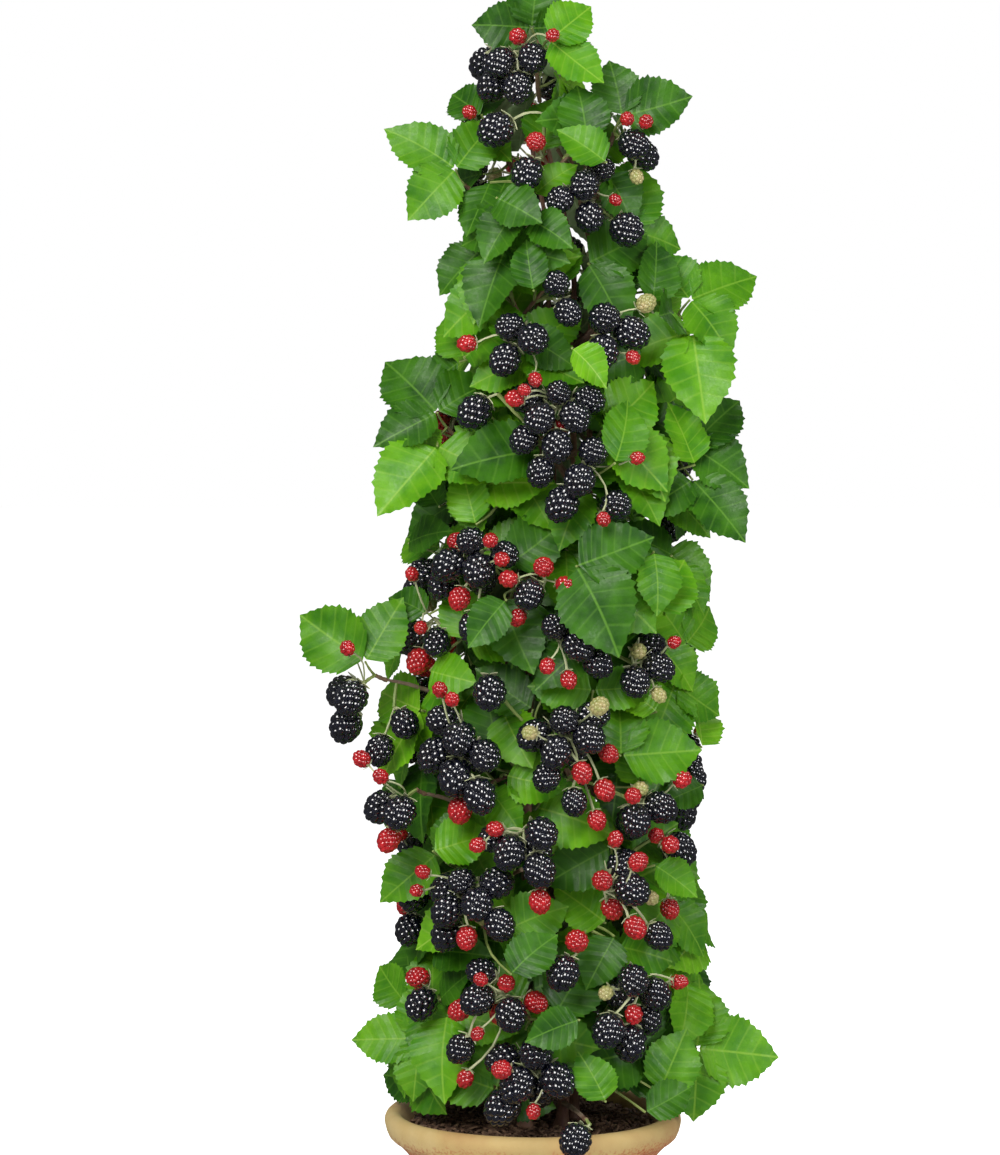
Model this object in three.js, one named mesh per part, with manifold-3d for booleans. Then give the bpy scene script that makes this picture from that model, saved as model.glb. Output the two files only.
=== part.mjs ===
// A potted bramble: five fruiting canes from one root, grown as a narrow leafy column in a flared terracotta pot.
// Millimetres, +Z up, the origin at the centre of the pot's flat underside, and -Y towards the viewer.
// A bearing is a compass angle about an upright axis: 0 is the front (-Y), 90 the right (+X), 180 the back.
import * as THREE from "three";
import { mergeVertices } from "three/addons/utils/BufferGeometryUtils.js";
import Module from "manifold-3d";

const wasm = await Module();
wasm.setup();

// Driving dimensions of the pot and its soil
const potHeight = 196;
const rimRadius = 120;
const neckRadius = 94;
const bodyRadius = 80;
const footRadius = 72;
const potWall = 10;
const potFloor = 12;
const lipHeight = 24;
const soilTop = 183;
const roundSegments = 26;
const clearance = 0.3;
const finestDetail = 0.12;

// Driving dimensions of the canes and boughs
const caneFootRadius = 5.2;
const caneTipRadius = 1.7;
const caneFlare = 2.4;
const flareHeight = 14;
const caneSpread = 25;
const caneBelly = 13;
const caneSides = 5;
const caneSteps = 9;
const boughFootRadius = 2.8;
const boughTipRadius = 1.6;
const boughSides = 4;
const boughSteps = 3;

// Driving dimensions of the twigs, leaves and fruit
const stemRadius = [3, 2.6];
const twigRadius = 1.5;
const stalkRadius = 0.72;
const leafLength = [60, 78];
const leafThickness = 2.4;
const leafHalfWidth = 0.37;
const leafWidest = 0.46;
const leafFold = 0.07;
const leafDroop = 0.1;
const sideLeafSize = 0.86;
const sideLeafTurn = 86;
const notchRadius = 3;
const berryRadius = [12, 14.2];
const berryStretch = 1.14;
const swings = [0, 30, -30, 60, -60, 90, -90, 120, -120, 150];
const depths = [0, -14, 12];
const leastRise = 0.32;
const frontTurn = 42;

// The crown's outline: at each height, its radius and how far right of the pot's middle its axis stands
const outline = [
  { height: 183, radius: 122, axisX: 8 },
  { height: 300, radius: 130, axisX: 12 },
  { height: 560, radius: 126, axisX: 14 },
  { height: 760, radius: 108, axisX: 20 },
  { height: 880, radius: 84, axisX: 27 },
  { height: 980, radius: 66, axisX: 6 },
  { height: 1110, radius: 58, axisX: -3 },
];
const standOut = 12;

// Each cane rises from the soil near the pot's centre, spreads a little and closes in again towards its tip.
const canes = [
  { name: "cane_front_right", bearing: 36, top: 1004, tipSpread: 2, sway: 7, phase: 0.4 },
  { name: "cane_right", bearing: 108, top: 962, tipSpread: 20, sway: -8, phase: 1.9 },
  { name: "cane_back", bearing: 180, top: 948, tipSpread: 20, sway: 9, phase: 3.1 },
  { name: "cane_left", bearing: 252, top: 954, tipSpread: 20, sway: -7, phase: 4.2 },
  { name: "cane_front_left", bearing: 324, top: 976, tipSpread: 14, sway: 8, phase: 5.5 },
];

// The column is stacked in tiers of three masses. Each tier is turned half a mass from the one below it.
const crownLow = 203;
const tierHeight = 114;
const tierCount = 7;
const sectorHalf = 60;
const interlock = 15;
const leavesPerMass = 8;
const leafSlots = 38;
const trussShifts = [[0, 0], [6, 4], [-6, -4], [-5, 12], [5, -12], [0, -20], [0, 20]];
const forkTurns = [-42, -14, 14, 42];
const sides = { 0: "front", 60: "front_right", 120: "back_right", 180: "back", 240: "back_left", 300: "front_left" };

// The trusses that show in front: how far right of the pot's middle, how high, and how many berries
const frontTrusses = [
  [2, 236, 5], [-26, 292, 6], [86, 304, 4], [-90, 284, 2], [34, 324, 2], [-54, 368, 5], [58, 372, 6], [102, 410, 3],
  [-10, 420, 5], [84, 440, 4], [-66, 492, 4], [26, 496, 6], [-42, 540, 3], [83, 548, 5], [18, 568, 3], [-88, 580, 4],
  [8, 614, 3], [-50, 632, 5], [66, 660, 6], [46, 702, 3], [18, 748, 6], [-26, 762, 4], [58, 806, 2], [-14, 800, 3],
  [14, 832, 2], [76, 888, 1], [52, 924, 4], [8, 944, 2], [10, 978, 5],
];
// Round the sides and the back the trusses wind up the column, one each golden turn.
const backTrusses = 27;
const backTurn = 137.5;
const backArc = [80, 280];
const backBerries = [5, 3, 4, 2, 6, 3];

// Side shoots that stand out of the column: a bough, with a small mass at its tip. A leaf is given by its turn.
const shoots = [
  { name: "top_right", cane: 1, root: 900, bearing: 70, tip: [56, 968], berries: 4, size: 0.78, leaves: [72] },
  { name: "upper_left", cane: 3, root: 890, bearing: 285, tip: [66, 930], berries: 0, size: 1, leaves: [-128, -62] },
  { name: "upper_right", cane: 1, root: 786, bearing: 84, tip: [84, 828], berries: 0, size: 1, leaves: [118, 66] },
  { name: "mid_right", cane: 1, root: 668, bearing: 80, tip: [92, 712], berries: 0, size: 1, leaves: [140, 96] },
  { name: "mid_left", cane: 3, root: 690, bearing: 284, tip: [84, 738], berries: 0, size: 1, leaves: [-142, -92] },
  { name: "lower_left", cane: 3, root: 500, bearing: 282, tip: [134, 544], berries: 5, size: 1, leaves: [-124, -76] },
  { name: "low_left", cane: 3, root: 416, bearing: 298, tip: [112, 456], berries: 3, size: 1, leaves: [] },
  { name: "bottom_right", cane: 1, root: 208, bearing: 84, tip: [104, 234], berries: 0, size: 1, leaves: [82] },
  { name: "bottom_left", cane: 3, root: 208, bearing: 276, tip: [84, 240], berries: 0, size: 0.85, leaves: [-88] },
  { name: "rim", cane: 0, root: 204, bearing: 14, tip: [122, 212], berries: 1, size: 1, leaves: [] },
  { name: "back_high", cane: 2, root: 776, bearing: 168, tip: [88, 812], berries: 2, size: 1, leaves: [112, 70] },
  { name: "back_low", cane: 2, root: 380, bearing: 204, tip: [116, 424], berries: 3, size: 1, leaves: [-110, -70] },
];
const shootReach = 98;

// The tip of the column: small leaves and trusses all round the leading cane's end
const tipLow = 996;
const tipStem = 52;
const tipLeafSize = 0.86;
const tipLeaves = [
  { bearing: 350, distance: 10, height: 1060, turn: 176 },
  { bearing: 184, distance: 14, height: 1036, turn: 170 },
  { bearing: 300, distance: 34, height: 1018, turn: -64 },
  { bearing: 62, distance: 34, height: 1022, turn: 58 },
  { bearing: 130, distance: 34, height: 1012, turn: 40 },
  { bearing: 236, distance: 34, height: 1014, turn: -40 },
  { bearing: 12, distance: 40, height: 1046, turn: -16 },
];
const tipTrusses = [
  { bearing: 338, height: 1030, berries: 5 },
  { bearing: 40, height: 1038, berries: 3 },
  { bearing: 318, height: 1002, berries: 3 },
  { bearing: 176, height: 1022, berries: 4 },
  { bearing: 262, height: 1034, berries: 3 },
];

const bark = new THREE.MeshStandardMaterial({ color: 0x8a6a4c, roughness: 0.8, metalness: 0 });
const greenShoot = new THREE.MeshStandardMaterial({ color: 0x7d8a45, roughness: 0.7, metalness: 0 });
const foliage = new THREE.MeshStandardMaterial({ color: 0x3f8a1c, roughness: 0.55, metalness: 0 });
const terracotta = new THREE.MeshStandardMaterial({ color: 0xc2a070, roughness: 0.85, metalness: 0 });
const compost = new THREE.MeshStandardMaterial({ color: 0x33241b, roughness: 1, metalness: 0 });

const up = new THREE.Vector3(0, 0, 1);

// A closed three.js geometry as a solid, and a solid as a geometry
function solidOf(geometry) {
  const bare = geometry.clone();
  bare.deleteAttribute("normal");
  bare.deleteAttribute("uv");
  const merged = mergeVertices(bare, 1e-4);
  const faces = [];
  const index = merged.index.array;
  for (let i = 0; i < index.length; i += 3) {
    const [a, b, c] = [index[i], index[i + 1], index[i + 2]];
    if (a !== b && b !== c && c !== a) faces.push(a, b, c);
  }
  const vertProperties = merged.attributes.position.array;
  return new wasm.Manifold(new wasm.Mesh({ numProp: 3, vertProperties, triVerts: new Uint32Array(faces) }));
}

function geometryOf(solid) {
  const mesh = solid.getMesh();
  return new THREE.BufferGeometry()
    .setAttribute("position", new THREE.BufferAttribute(mesh.vertProperties, 3))
    .setIndex(new THREE.BufferAttribute(mesh.triVerts, 1))
    .toNonIndexed();
}

// The largest of a solid's bodies: loose scraps and sealed hollows are dropped
function largestBody(solid) {
  return solid.decompose().reduce((best, piece) => (piece.volume() > best.volume() ? piece : best));
}

function named(name, solid, material) {
  const geometry = geometryOf(solid);
  geometry.computeVertexNormals();
  const mesh = new THREE.Mesh(geometry, material);
  mesh.name = name;
  return mesh;
}

// The seeded draw: a number from 0 to 1 each time it is called
function seededDraw(seed) {
  let state = Math.imul(seed, 2654435761) >>> 0;
  return () => {
    state = (Math.imul(state, 1664525) + 1013904223) >>> 0;
    return state / 4294967296;
  };
}

const between = (range, share) => range[0] + (range[1] - range[0]) * share;

// The crown's radius or its axis at a height, between the heights that the outline names
function crownAt(key, height) {
  const found = outline.findIndex((row) => row.height > height);
  const next = found < 0 ? outline.length - 1 : Math.max(1, found);
  const [below, above] = [outline[next - 1], outline[next]];
  return below[key] + ((above[key] - below[key]) * (height - below.height)) / (above.height - below.height);
}

function outward(bearing) {
  const angle = THREE.MathUtils.degToRad(bearing);
  return new THREE.Vector3(Math.sin(angle), -Math.cos(angle), 0);
}

// Leaves turn to the light in front: most at the sides, not at all at the front and the back
function leafFacing(bearing) {
  return outward(bearing - frontTurn * Math.sin(THREE.MathUtils.degToRad(bearing)));
}

// The point at a bearing, a distance and a height, measured from the crown's own axis
function place(bearing, distance, height) {
  return outward(bearing).multiplyScalar(distance).add(new THREE.Vector3(crownAt("axisX", height), 0, height));
}

// A round loop about a centre, square to its heading, as points with their turns from 0 to 1.
// It starts towards a reference direction, and twist sets it on by a share of a step.
function ring(centre, heading, reference, radius, count, twist = 0) {
  const across = reference.clone().addScaledVector(heading, -reference.dot(heading)).normalize();
  const rise = heading.clone().cross(across);
  return Array.from({ length: count }, (_, k) => {
    const turn = (k + twist) / count;
    const at = centre.clone()
      .addScaledVector(across, radius * Math.cos(2 * Math.PI * turn))
      .addScaledVector(rise, radius * Math.sin(2 * Math.PI * turn));
    return { at, turn };
  });
}

// A closed skin over a chain of loops. A loop of one point closes it there.
function skin(loops) {
  const faces = [];
  const add = (...corners) => corners.forEach(({ at }) => faces.push(at.x, at.y, at.z));
  const [foot, end] = [loops[0], loops[loops.length - 1]];
  for (let i = 2; i < foot.length; i++) add(foot[0], foot[i], foot[i - 1]);
  for (let i = 2; i < end.length; i++) add(end[0], end[i - 1], end[i]);
  for (let k = 1; k < loops.length; k++) {
    const [lower, upper] = [loops[k - 1], loops[k]];
    const stepsOf = (loop) => (loop.length > 1 ? loop.length : 0);
    const next = (loop, i) => (i + 1 < loop.length ? loop[i + 1].turn : loop[0].turn + 1);
    let [i, j] = [0, 0];
    while (i < stepsOf(lower) || j < stepsOf(upper)) {
      const [a, b] = [lower[i % lower.length], upper[j % upper.length]];
      const goesLower = i < stepsOf(lower) && (j >= stepsOf(upper) || next(lower, i) <= next(upper, j));
      if (goesLower) add(a, lower[++i % lower.length], b);
      else add(a, upper[++j % upper.length], b);
    }
  }
  return new THREE.BufferGeometry().setAttribute("position", new THREE.Float32BufferAttribute(faces, 3));
}

// A direction that is never along a heading, for a ring to start from
const besides = (heading) => (Math.abs(heading.z) > 0.9 ? new THREE.Vector3(1, 0, 0) : up);

// A tapering limb along a line: its rings lie level, or square to the line's heading
function limb(pointAt, radiusAt, sidesRound, steps, level) {
  const heading = level ? up : pointAt(1).sub(pointAt(0)).normalize();
  const shares = Array.from({ length: steps + 1 }, (_, k) => k / steps);
  return skin(shares.map((t) => ring(pointAt(t), heading, besides(heading), radiusAt(t), sidesRound)));
}

// A tapering three-sided twig between two points, run on a little at its end so that joints close
function twig(from, to, radiusFrom, radiusTo) {
  const heading = to.clone().sub(from).normalize();
  const end = to.clone().addScaledVector(heading, radiusTo);
  const start = besides(heading);
  return skin([ring(from, heading, start, radiusFrom, 3), ring(end, heading, start, radiusTo, 3)]);
}

// Beads are small balls along a limb or a twig, by which clashes are found.
function beadsAlong(from, to, radius, owner) {
  const count = Math.ceil(from.distanceTo(to) / 6);
  const beads = [];
  for (let i = 0; i <= count; i++) beads.push({ at: from.clone().lerp(to, i / count), radius, owner });
  return beads;
}

// One leaflet of a compound leaf: a thin folded blade that droops to its tip. Its turn is from the middle leaflet.
class Leaflet {
  constructor(base, along, normal, length, turn, owner) {
    this.base = base;
    this.normal = normal;
    this.along = along.clone().addScaledVector(normal, -along.dot(normal)).normalize();
    this.side = normal.clone().cross(this.along);
    this.length = length;
    this.turn = turn;
    this.owner = owner;
    this.middle = this.point(0.5, 0);
    this.beads = Leaflet.spots.map(([x, y]) => ({ at: this.point(x, y), radius: 1.5, owner }));
  }

  // Where beads sit on a blade: shares of its length, along it and across it
  static spots = [
    [0.25, 0], [0.5, 0], [0.75, 0], [0.97, 0], [0.25, 0.18], [0.25, -0.18],
    [0.42, 0.32], [0.42, -0.32], [0.66, 0.2], [0.66, -0.2], [0.84, 0.08], [0.84, -0.08],
  ];

  // How far the blade stands above its own flat plane, as a share of its length
  static lift(x, y) {
    return leafFold * Math.min(1, Math.abs(y) / leafHalfWidth) - leafDroop * Math.max(0, (x - 0.45) / 0.55);
  }

  point(x, y, extra = 0) {
    return this.base.clone()
      .addScaledVector(this.along, x * this.length)
      .addScaledVector(this.side, y * this.length)
      .addScaledVector(this.normal, Leaflet.lift(x, y) * this.length + extra);
  }

  meets(bead) {
    const gap = bead.at.clone().sub(this.base);
    const reach = bead.radius / this.length;
    const x = gap.dot(this.along) / this.length;
    const y = gap.dot(this.side) / this.length;
    if (x < -reach || x > 1 + reach) return false;
    const inside = Math.min(1, Math.max(0, x));
    const half = leafHalfWidth * Math.min(inside / leafWidest, (1 - inside) / (1 - leafWidest));
    if (Math.abs(y) > half + reach) return false;
    const z = gap.dot(this.normal) / this.length;
    return Math.abs(z - Leaflet.lift(inside, y)) < reach + leafThickness / this.length;
  }

  // The blade's edge from one side to the other, as a loop's points
  edge() {
    const half = Math.atan2(leafHalfWidth, leafWidest) / (2 * Math.PI);
    return [[leafWidest, -leafHalfWidth, -half], [1, 0, 0], [leafWidest, leafHalfWidth, half]]
      .map(([x, y, turn]) => ({ at: this.point(x, y), turn: this.turn + turn }));
  }
}

// A compound leaf in one piece: a three-sided stalk, whose end spreads into blades like the fingers of a hand
function leafShape(from, joint, { normal, along, side }, leaflets) {
  const fingers = [...leaflets].sort((a, b) => a.turn - b.turn);
  const hand = fingers.flatMap((leaflet, i) => {
    const after = i + 1 < fingers.length ? fingers[i + 1].turn : fingers[0].turn + 1;
    const turn = (leaflet.turn + after) / 2;
    const notch = joint.clone()
      .addScaledVector(along, notchRadius * Math.cos(2 * Math.PI * turn))
      .addScaledVector(side, notchRadius * Math.sin(2 * Math.PI * turn));
    return [...leaflet.edge(), { at: notch, turn }];
  }).map(({ at, turn }) => ({ at, turn: (turn + 1) % 1 })).sort((a, b) => a.turn - b.turn);
  const heading = joint.clone().sub(from).normalize();
  const foot = ring(from, heading, along, stalkRadius, 3);
  const neck = ring(joint.clone().addScaledVector(normal, -leafThickness / 2), normal, along, stalkRadius, 3);
  const top = { at: joint.clone().addScaledVector(normal, leafThickness / 2), turn: 0 };
  return skin([foot, neck, hand, [top]]);
}

// A berry on its stalk, in one piece: a many-sided ball, stretched along its heading
function berryShape(joint, centre, heading, radius) {
  const start = besides(heading);
  const at = (share) => centre.clone().addScaledVector(heading, share * radius * berryStretch);
  return skin([
    ring(joint, heading, start, stalkRadius, 3),
    ring(at(-0.93), heading, start, stalkRadius * 1.8, 3),
    ring(at(-0.4), heading, start, radius * 0.9, 5),
    ring(at(0.42), heading, start, radius * 0.88, 5, 0.5),
    [{ at: at(1), turn: 0 }],
  ]);
}

// Where the berries of a truss hang from its joint, in berry widths: across, up and outwards
const berryPlaces = [[-0.54, -0.38, 0.5], [0.54, -0.3, 0.46], [0.02, -1.2, 0.5]];
const solidBerries = (berries) => Math.min(3, Math.ceil(berries / 2));

// All that has grown so far, for a new twig, leaf or berry to be tested against
const grown = { leaflets: [], beads: [], solids: [], owners: 0 };

class Growth {
  constructor(space, seed) {
    this.space = space;
    this.draw = seededDraw(seed);
    this.shapes = [];
    this.neighbours = [...grown.solids];
  }

  // No part of a new piece may come close to a mass that has already grown.
  standsClear(pieces) {
    return pieces.every((piece) => this.neighbours.every((other) => piece.minGap(other, 3 * clearance) > 2 * clearance));
  }

  addTwig(from, to, radiusFrom, radiusTo, owner) {
    this.shapes.push(solidOf(twig(from, to, radiusFrom, radiusTo)));
    grown.beads.push(...beadsAlong(from, to, radiusFrom, owner));
  }

  twigIsClear(from, to, radius) {
    const beads = beadsAlong(from, to, radius + 1, -1);
    const last = beads.length - 1;
    if (beads.some((bead, i) => i > 1 && !this.space.holds(bead.at, radius))) return false;
    if (beads.some((bead) => grown.leaflets.some((leaflet) => leaflet.meets(bead)))) return false;
    return !beads.some((bead, i) => i > 1 && grown.beads.some((other) => !other.light
      && (i > last - 3 || other.solid) && other.at.distanceTo(bead.at) < other.radius + bead.radius));
  }

  leafletIsClear(leaflet) {
    if (leaflet.beads.some((bead) => !this.space.holds(bead.at, 0.5))) return false;
    const reach = leaflet.length * 0.6;
    const near = (bead) => bead.at.distanceTo(leaflet.middle) < reach + bead.radius;
    if (grown.beads.some((bead) => bead.owner !== leaflet.owner && near(bead) && leaflet.meets(bead))) return false;
    return !grown.leaflets.some((other) => other.owner !== leaflet.owner
      && other.middle.distanceTo(leaflet.middle) < reach * 2
      && (leaflet.beads.some((bead) => other.meets(bead)) || other.beads.some((bead) => leaflet.meets(bead))));
  }

  // A compound leaf of three leaflets at the end of its stalk, turned and set deeper by tries until it fits
  addLeaf(from, joint, facing, turn, share = 1, tilt = 1) {
    const owner = ++grown.owners;
    const size = between(leafLength, this.draw()) * share;
    const rise = (0.2 + 0.35 * this.draw()) * tilt;
    const lean = (this.draw() - 0.5) * 0.4;
    const sideways = up.clone().cross(facing).normalize();
    const normal = facing.clone().addScaledVector(up, rise).addScaledVector(sideways, lean).normalize();
    for (const depth of depths) {
      const end = joint.clone().addScaledVector(facing, depth);
      const steep = end.clone().sub(from).normalize().dot(normal);
      if (steep < leastRise || !this.twigIsClear(from, end, stalkRadius)) continue;
      for (const swing of swings) {
        const fingers = [[0, 1], [sideLeafTurn, sideLeafSize], [-sideLeafTurn, sideLeafSize]].map(([extra, part]) => {
          const angle = THREE.MathUtils.degToRad(turn + swing + extra);
          const along = sideways.clone().multiplyScalar(Math.sin(angle)).addScaledVector(up, -Math.cos(angle));
          return new Leaflet(end, along, normal, size * part, ((extra + 360) % 360) / 360, owner);
        });
        const leaflets = fingers.filter((leaflet) => this.leafletIsClear(leaflet));
        if (leaflets.length < 2) continue;
        const solid = solidOf(leafShape(from, end, fingers[0], leaflets));
        if (!this.standsClear([solid])) continue;
        this.shapes.push(solid);
        grown.leaflets.push(...leaflets);
        grown.beads.push(...beadsAlong(from, end, stalkRadius, owner));
        return true;
      }
    }
    return false;
  }

  // A truss: berries on short stalks round the end of a twig, with room for light in front of them
  addTruss(from, joint, facing, berries) {
    const owner = ++grown.owners;
    const roll = THREE.MathUtils.degToRad((this.draw() - 0.5) * 70);
    const radius = between(berryRadius, this.draw());
    if (!this.twigIsClear(from, joint, twigRadius)) return false;
    const across = up.clone().cross(facing).applyAxisAngle(facing, roll);
    const rise = facing.clone().cross(across);
    const pieces = [];
    const beads = [];
    for (const [x, y, z] of berryPlaces.slice(0, solidBerries(berries))) {
      const offset = across.clone().multiplyScalar(x).addScaledVector(rise, y).addScaledVector(facing, z);
      const centre = joint.clone().addScaledVector(offset, radius * 2.1);
      const longRadius = radius * berryStretch;
      const held = this.space.holds(centre, radius);
      const clash = grown.leaflets.some((leaflet) => leaflet.meets({ at: centre, radius: longRadius }))
        || grown.beads.some((bead) => !bead.light && bead.at.distanceTo(centre) < bead.radius + longRadius + 0.5);
      if (!held || clash) continue;
      const solid = solidOf(berryShape(joint, centre, offset.normalize(), radius));
      if (!this.standsClear([solid])) continue;
      pieces.push(solid);
      beads.push({ at: centre, radius: longRadius, owner, solid: true });
      beads.push({ at: centre.clone().addScaledVector(facing, radius * 1.6), radius: radius * 0.7, owner, light: true });
    }
    if (!pieces.length || !this.standsClear([solidOf(twig(from, joint, stalkRadius, twigRadius))])) return false;
    this.addTwig(from, joint, stalkRadius, twigRadius, owner);
    this.shapes.push(...pieces);
    grown.beads.push(...beads);
    return true;
  }

  // Everything joined into one body, cut clear of the limbs that it stands by
  finish(limbs) {
    let body = wasm.Manifold.union(this.shapes);
    for (const one of limbs) body = body.subtract(one.keepOut);
    const solid = largestBody(body.simplify(finestDetail));
    grown.solids.push(solid);
    return solid;
  }
}

// The space of a mass in the column: a wedge about the axis, from low to high, within the crown's outline
function wedge(bearing, halfAngle, low, high) {
  const walls = [outward(bearing + halfAngle - 90), outward(bearing - halfAngle + 90)];
  const floor = Math.max(low - interlock, crownLow - 3);
  return {
    holds(point, margin) {
      if (point.z < floor + margin || point.z > high + interlock - margin) return false;
      const flat = new THREE.Vector3(point.x - crownAt("axisX", point.z), point.y, 0);
      if (flat.length() > crownAt("radius", point.z) + standOut - margin) return false;
      return halfAngle >= 180 || walls.every((wall) => flat.dot(wall) > margin - interlock);
    },
  };
}

// The space of a side shoot: a ball about its bough's tip
function ball(centre) {
  return { holds: (point, margin) => point.distanceTo(centre) < shootReach - margin };
}

// The pot: a turned wall with a rounded, flared lip
function innerWall() {
  const h = potHeight;
  return [
    [rimRadius - 19, h - 12], [neckRadius - 4, h - 34], [neckRadius - potWall - 1, h - 52],
    [bodyRadius - potWall, 60], [footRadius - potWall, potFloor],
  ];
}

function potProfile() {
  const h = potHeight;
  return [
    [0, 0], [footRadius, 0], [footRadius + 2, 4], [bodyRadius, 60], [neckRadius, h - 46],
    [neckRadius + 6, h - 36], [rimRadius - 9, h - lipHeight], [rimRadius - 2, h - 16], [rimRadius, h - 9],
    [rimRadius - 3, h - 2], [rimRadius - 8, h], [rimRadius - 13, h - 2], ...innerWall(), [0, potFloor],
  ];
}

// The soil fills the pot up to its flat top, a hair clear of the wall.
function soilProfile() {
  const wall = innerWall();
  const share = (soilTop - wall[1][1]) / (wall[0][1] - wall[1][1]);
  const edge = wall[1][0] + (wall[0][0] - wall[1][0]) * share;
  const hair = clearance * 1.5;
  const inside = wall.slice(1).reverse().map(([x, y]) => [x - hair, Math.max(y, potFloor + clearance)]);
  return [[0, potFloor + clearance], ...inside, [edge - hair, soilTop], [0, soilTop]];
}

function turned(profile) {
  const points = profile.map(([x, y]) => new THREE.Vector2(x, y));
  return solidOf(new THREE.LatheGeometry(points, roundSegments).rotateX(Math.PI / 2));
}

function beadsOf(pointAt, radiusAt, length) {
  const count = Math.ceil(length / 4);
  for (let i = 0; i <= count; i++) {
    grown.beads.push({ at: pointAt(i / count), radius: radiusAt(i / count) + 1, owner: 0, solid: true });
  }
}

function caneAt(cane, height) {
  const t = (height - soilTop - clearance) / (cane.top - soilTop - clearance);
  const belly = caneSpread + caneBelly * Math.sin(Math.PI * Math.min(1, t * 1.1));
  const spread = belly + (cane.tipSpread - belly) * t ** 3;
  return place(cane.bearing + cane.sway * Math.sin(5.2 * t + cane.phase) * Math.min(1, 4 * t), spread, height);
}

// A cane stands on the soil on a flat cut, flared at its foot, and tapers to its tip.
function makeCane(cane) {
  const foot = soilTop + clearance;
  const reach = cane.top - foot;
  const flareShare = flareHeight / reach;
  const shareAt = (t) => {
    const step = t * caneSteps;
    return step < 1 ? step * flareShare : flareShare + ((step - 1) / (caneSteps - 1)) * (1 - flareShare);
  };
  const pointAt = (t) => caneAt(cane, foot + reach * shareAt(t));
  const radiusAt = (t) => {
    const flare = caneFlare * Math.max(0, 1 - t * caneSteps);
    return caneFootRadius + (caneTipRadius - caneFootRadius) * shareAt(t) ** 0.85 + flare;
  };
  beadsOf(pointAt, radiusAt, reach);
  return {
    solid: solidOf(limb(pointAt, radiusAt, caneSides, caneSteps, true)),
    keepOut: solidOf(limb(pointAt, (t) => radiusAt(t) + 1.4 * clearance, caneSides, caneSteps, true)),
  };
}

// A bough leaves its cane low and rises in one bow to its tip.
function makeBough(shoot, cane) {
  const root = caneAt(canes[shoot.cane], shoot.root);
  const end = place(shoot.bearing, shoot.tip[0], shoot.tip[1]);
  const bow = root.clone().lerp(end, 0.5).add(new THREE.Vector3(0, 0, (shoot.tip[1] - shoot.root) * 0.3));
  const curve = new THREE.QuadraticBezierCurve3(root, bow, end);
  const pointAt = (t) => curve.getPoint(t);
  const radiusAt = (t) => boughFootRadius + (boughTipRadius - boughFootRadius) * t;
  const grownBy = (extra) => solidOf(limb(pointAt, (t) => radiusAt(t) + extra, boughSides, boughSteps, false));
  beadsOf(pointAt, radiusAt, root.distanceTo(end));
  return {
    end,
    heading: end.clone().sub(root).normalize(),
    solid: largestBody(grownBy(0).subtract(cane.keepOut)),
    keepOut: grownBy(1.4 * clearance),
  };
}

// A mass of the column: a stem out of the nearest cane to a hub, forks at the crown's face, then trusses and leaves
function growMass(level, bearing, seed, limbs) {
  const low = crownLow + level * tierHeight;
  const high = low + tierHeight;
  const growth = new Growth(wedge(bearing, sectorHalf, low, high), seed);
  const rootHeight = low + 0.3 * tierHeight;
  const turnTo = (one) => Math.abs(((one.bearing - bearing + 540) % 360) - 180);
  const reaching = canes.filter((cane) => cane.top > rootHeight + 10);
  const cane = reaching.reduce((best, one) => (turnTo(one) < turnTo(best) ? one : best));
  const middle = low + tierHeight / 2;
  const hub = place(bearing, crownAt("radius", middle) * 0.42, middle);
  growth.addTwig(caneAt(cane, rootHeight), hub, ...stemRadius, 0);
  const forks = forkTurns.map((turn, k) => {
    const height = middle + (k % 2 ? 24 : -24);
    const fork = place(bearing + turn, crownAt("radius", height) * 0.56, height);
    growth.addTwig(hub, fork, twigRadius, twigRadius, 0);
    return fork;
  });
  // Each stalk leaves the nearest fork at a place of its own along it.
  let rooted = 0;
  const rootFor = (joint) => {
    const fork = forks.reduce((best, one) => (one.distanceTo(joint) < best.distanceTo(joint) ? one : best));
    return hub.clone().lerp(fork, 0.35 + 0.65 * ((++rooted * 0.618) % 1));
  };

  const isHere = (one) => one.height >= low && one.height < high && turnTo(one) < sectorHalf;
  for (const { bearing: toward, height, berries } of trusses.filter(isHere)) {
    trussShifts.some(([turn, rise]) => {
      const joint = place(toward + turn, crownAt("radius", height) - 28, height + 12 + rise);
      return growth.addTruss(rootFor(joint), joint, outward(toward + turn), berries);
    });
  }

  const phase = [growth.draw(), growth.draw()];
  let leaves = 0;
  for (let k = 0; k < leafSlots && leaves < leavesPerMass; k++) {
    const across = (phase[0] + k * 0.7549) % 1;
    const rise = (phase[1] + k * 0.5698) % 1;
    const toward = bearing + (across - 0.5) * 2 * sectorHalf * 0.92;
    const height = low + tierHeight * (0.12 + 0.86 * rise);
    const joint = place(toward, crownAt("radius", height) - 12 - 20 * growth.draw(), height);
    const turn = (growth.draw() - 0.5) * 220;
    if (growth.addLeaf(rootFor(joint), joint, leafFacing(toward), turn)) leaves++;
  }
  return growth.finish(limbs);
}

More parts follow.
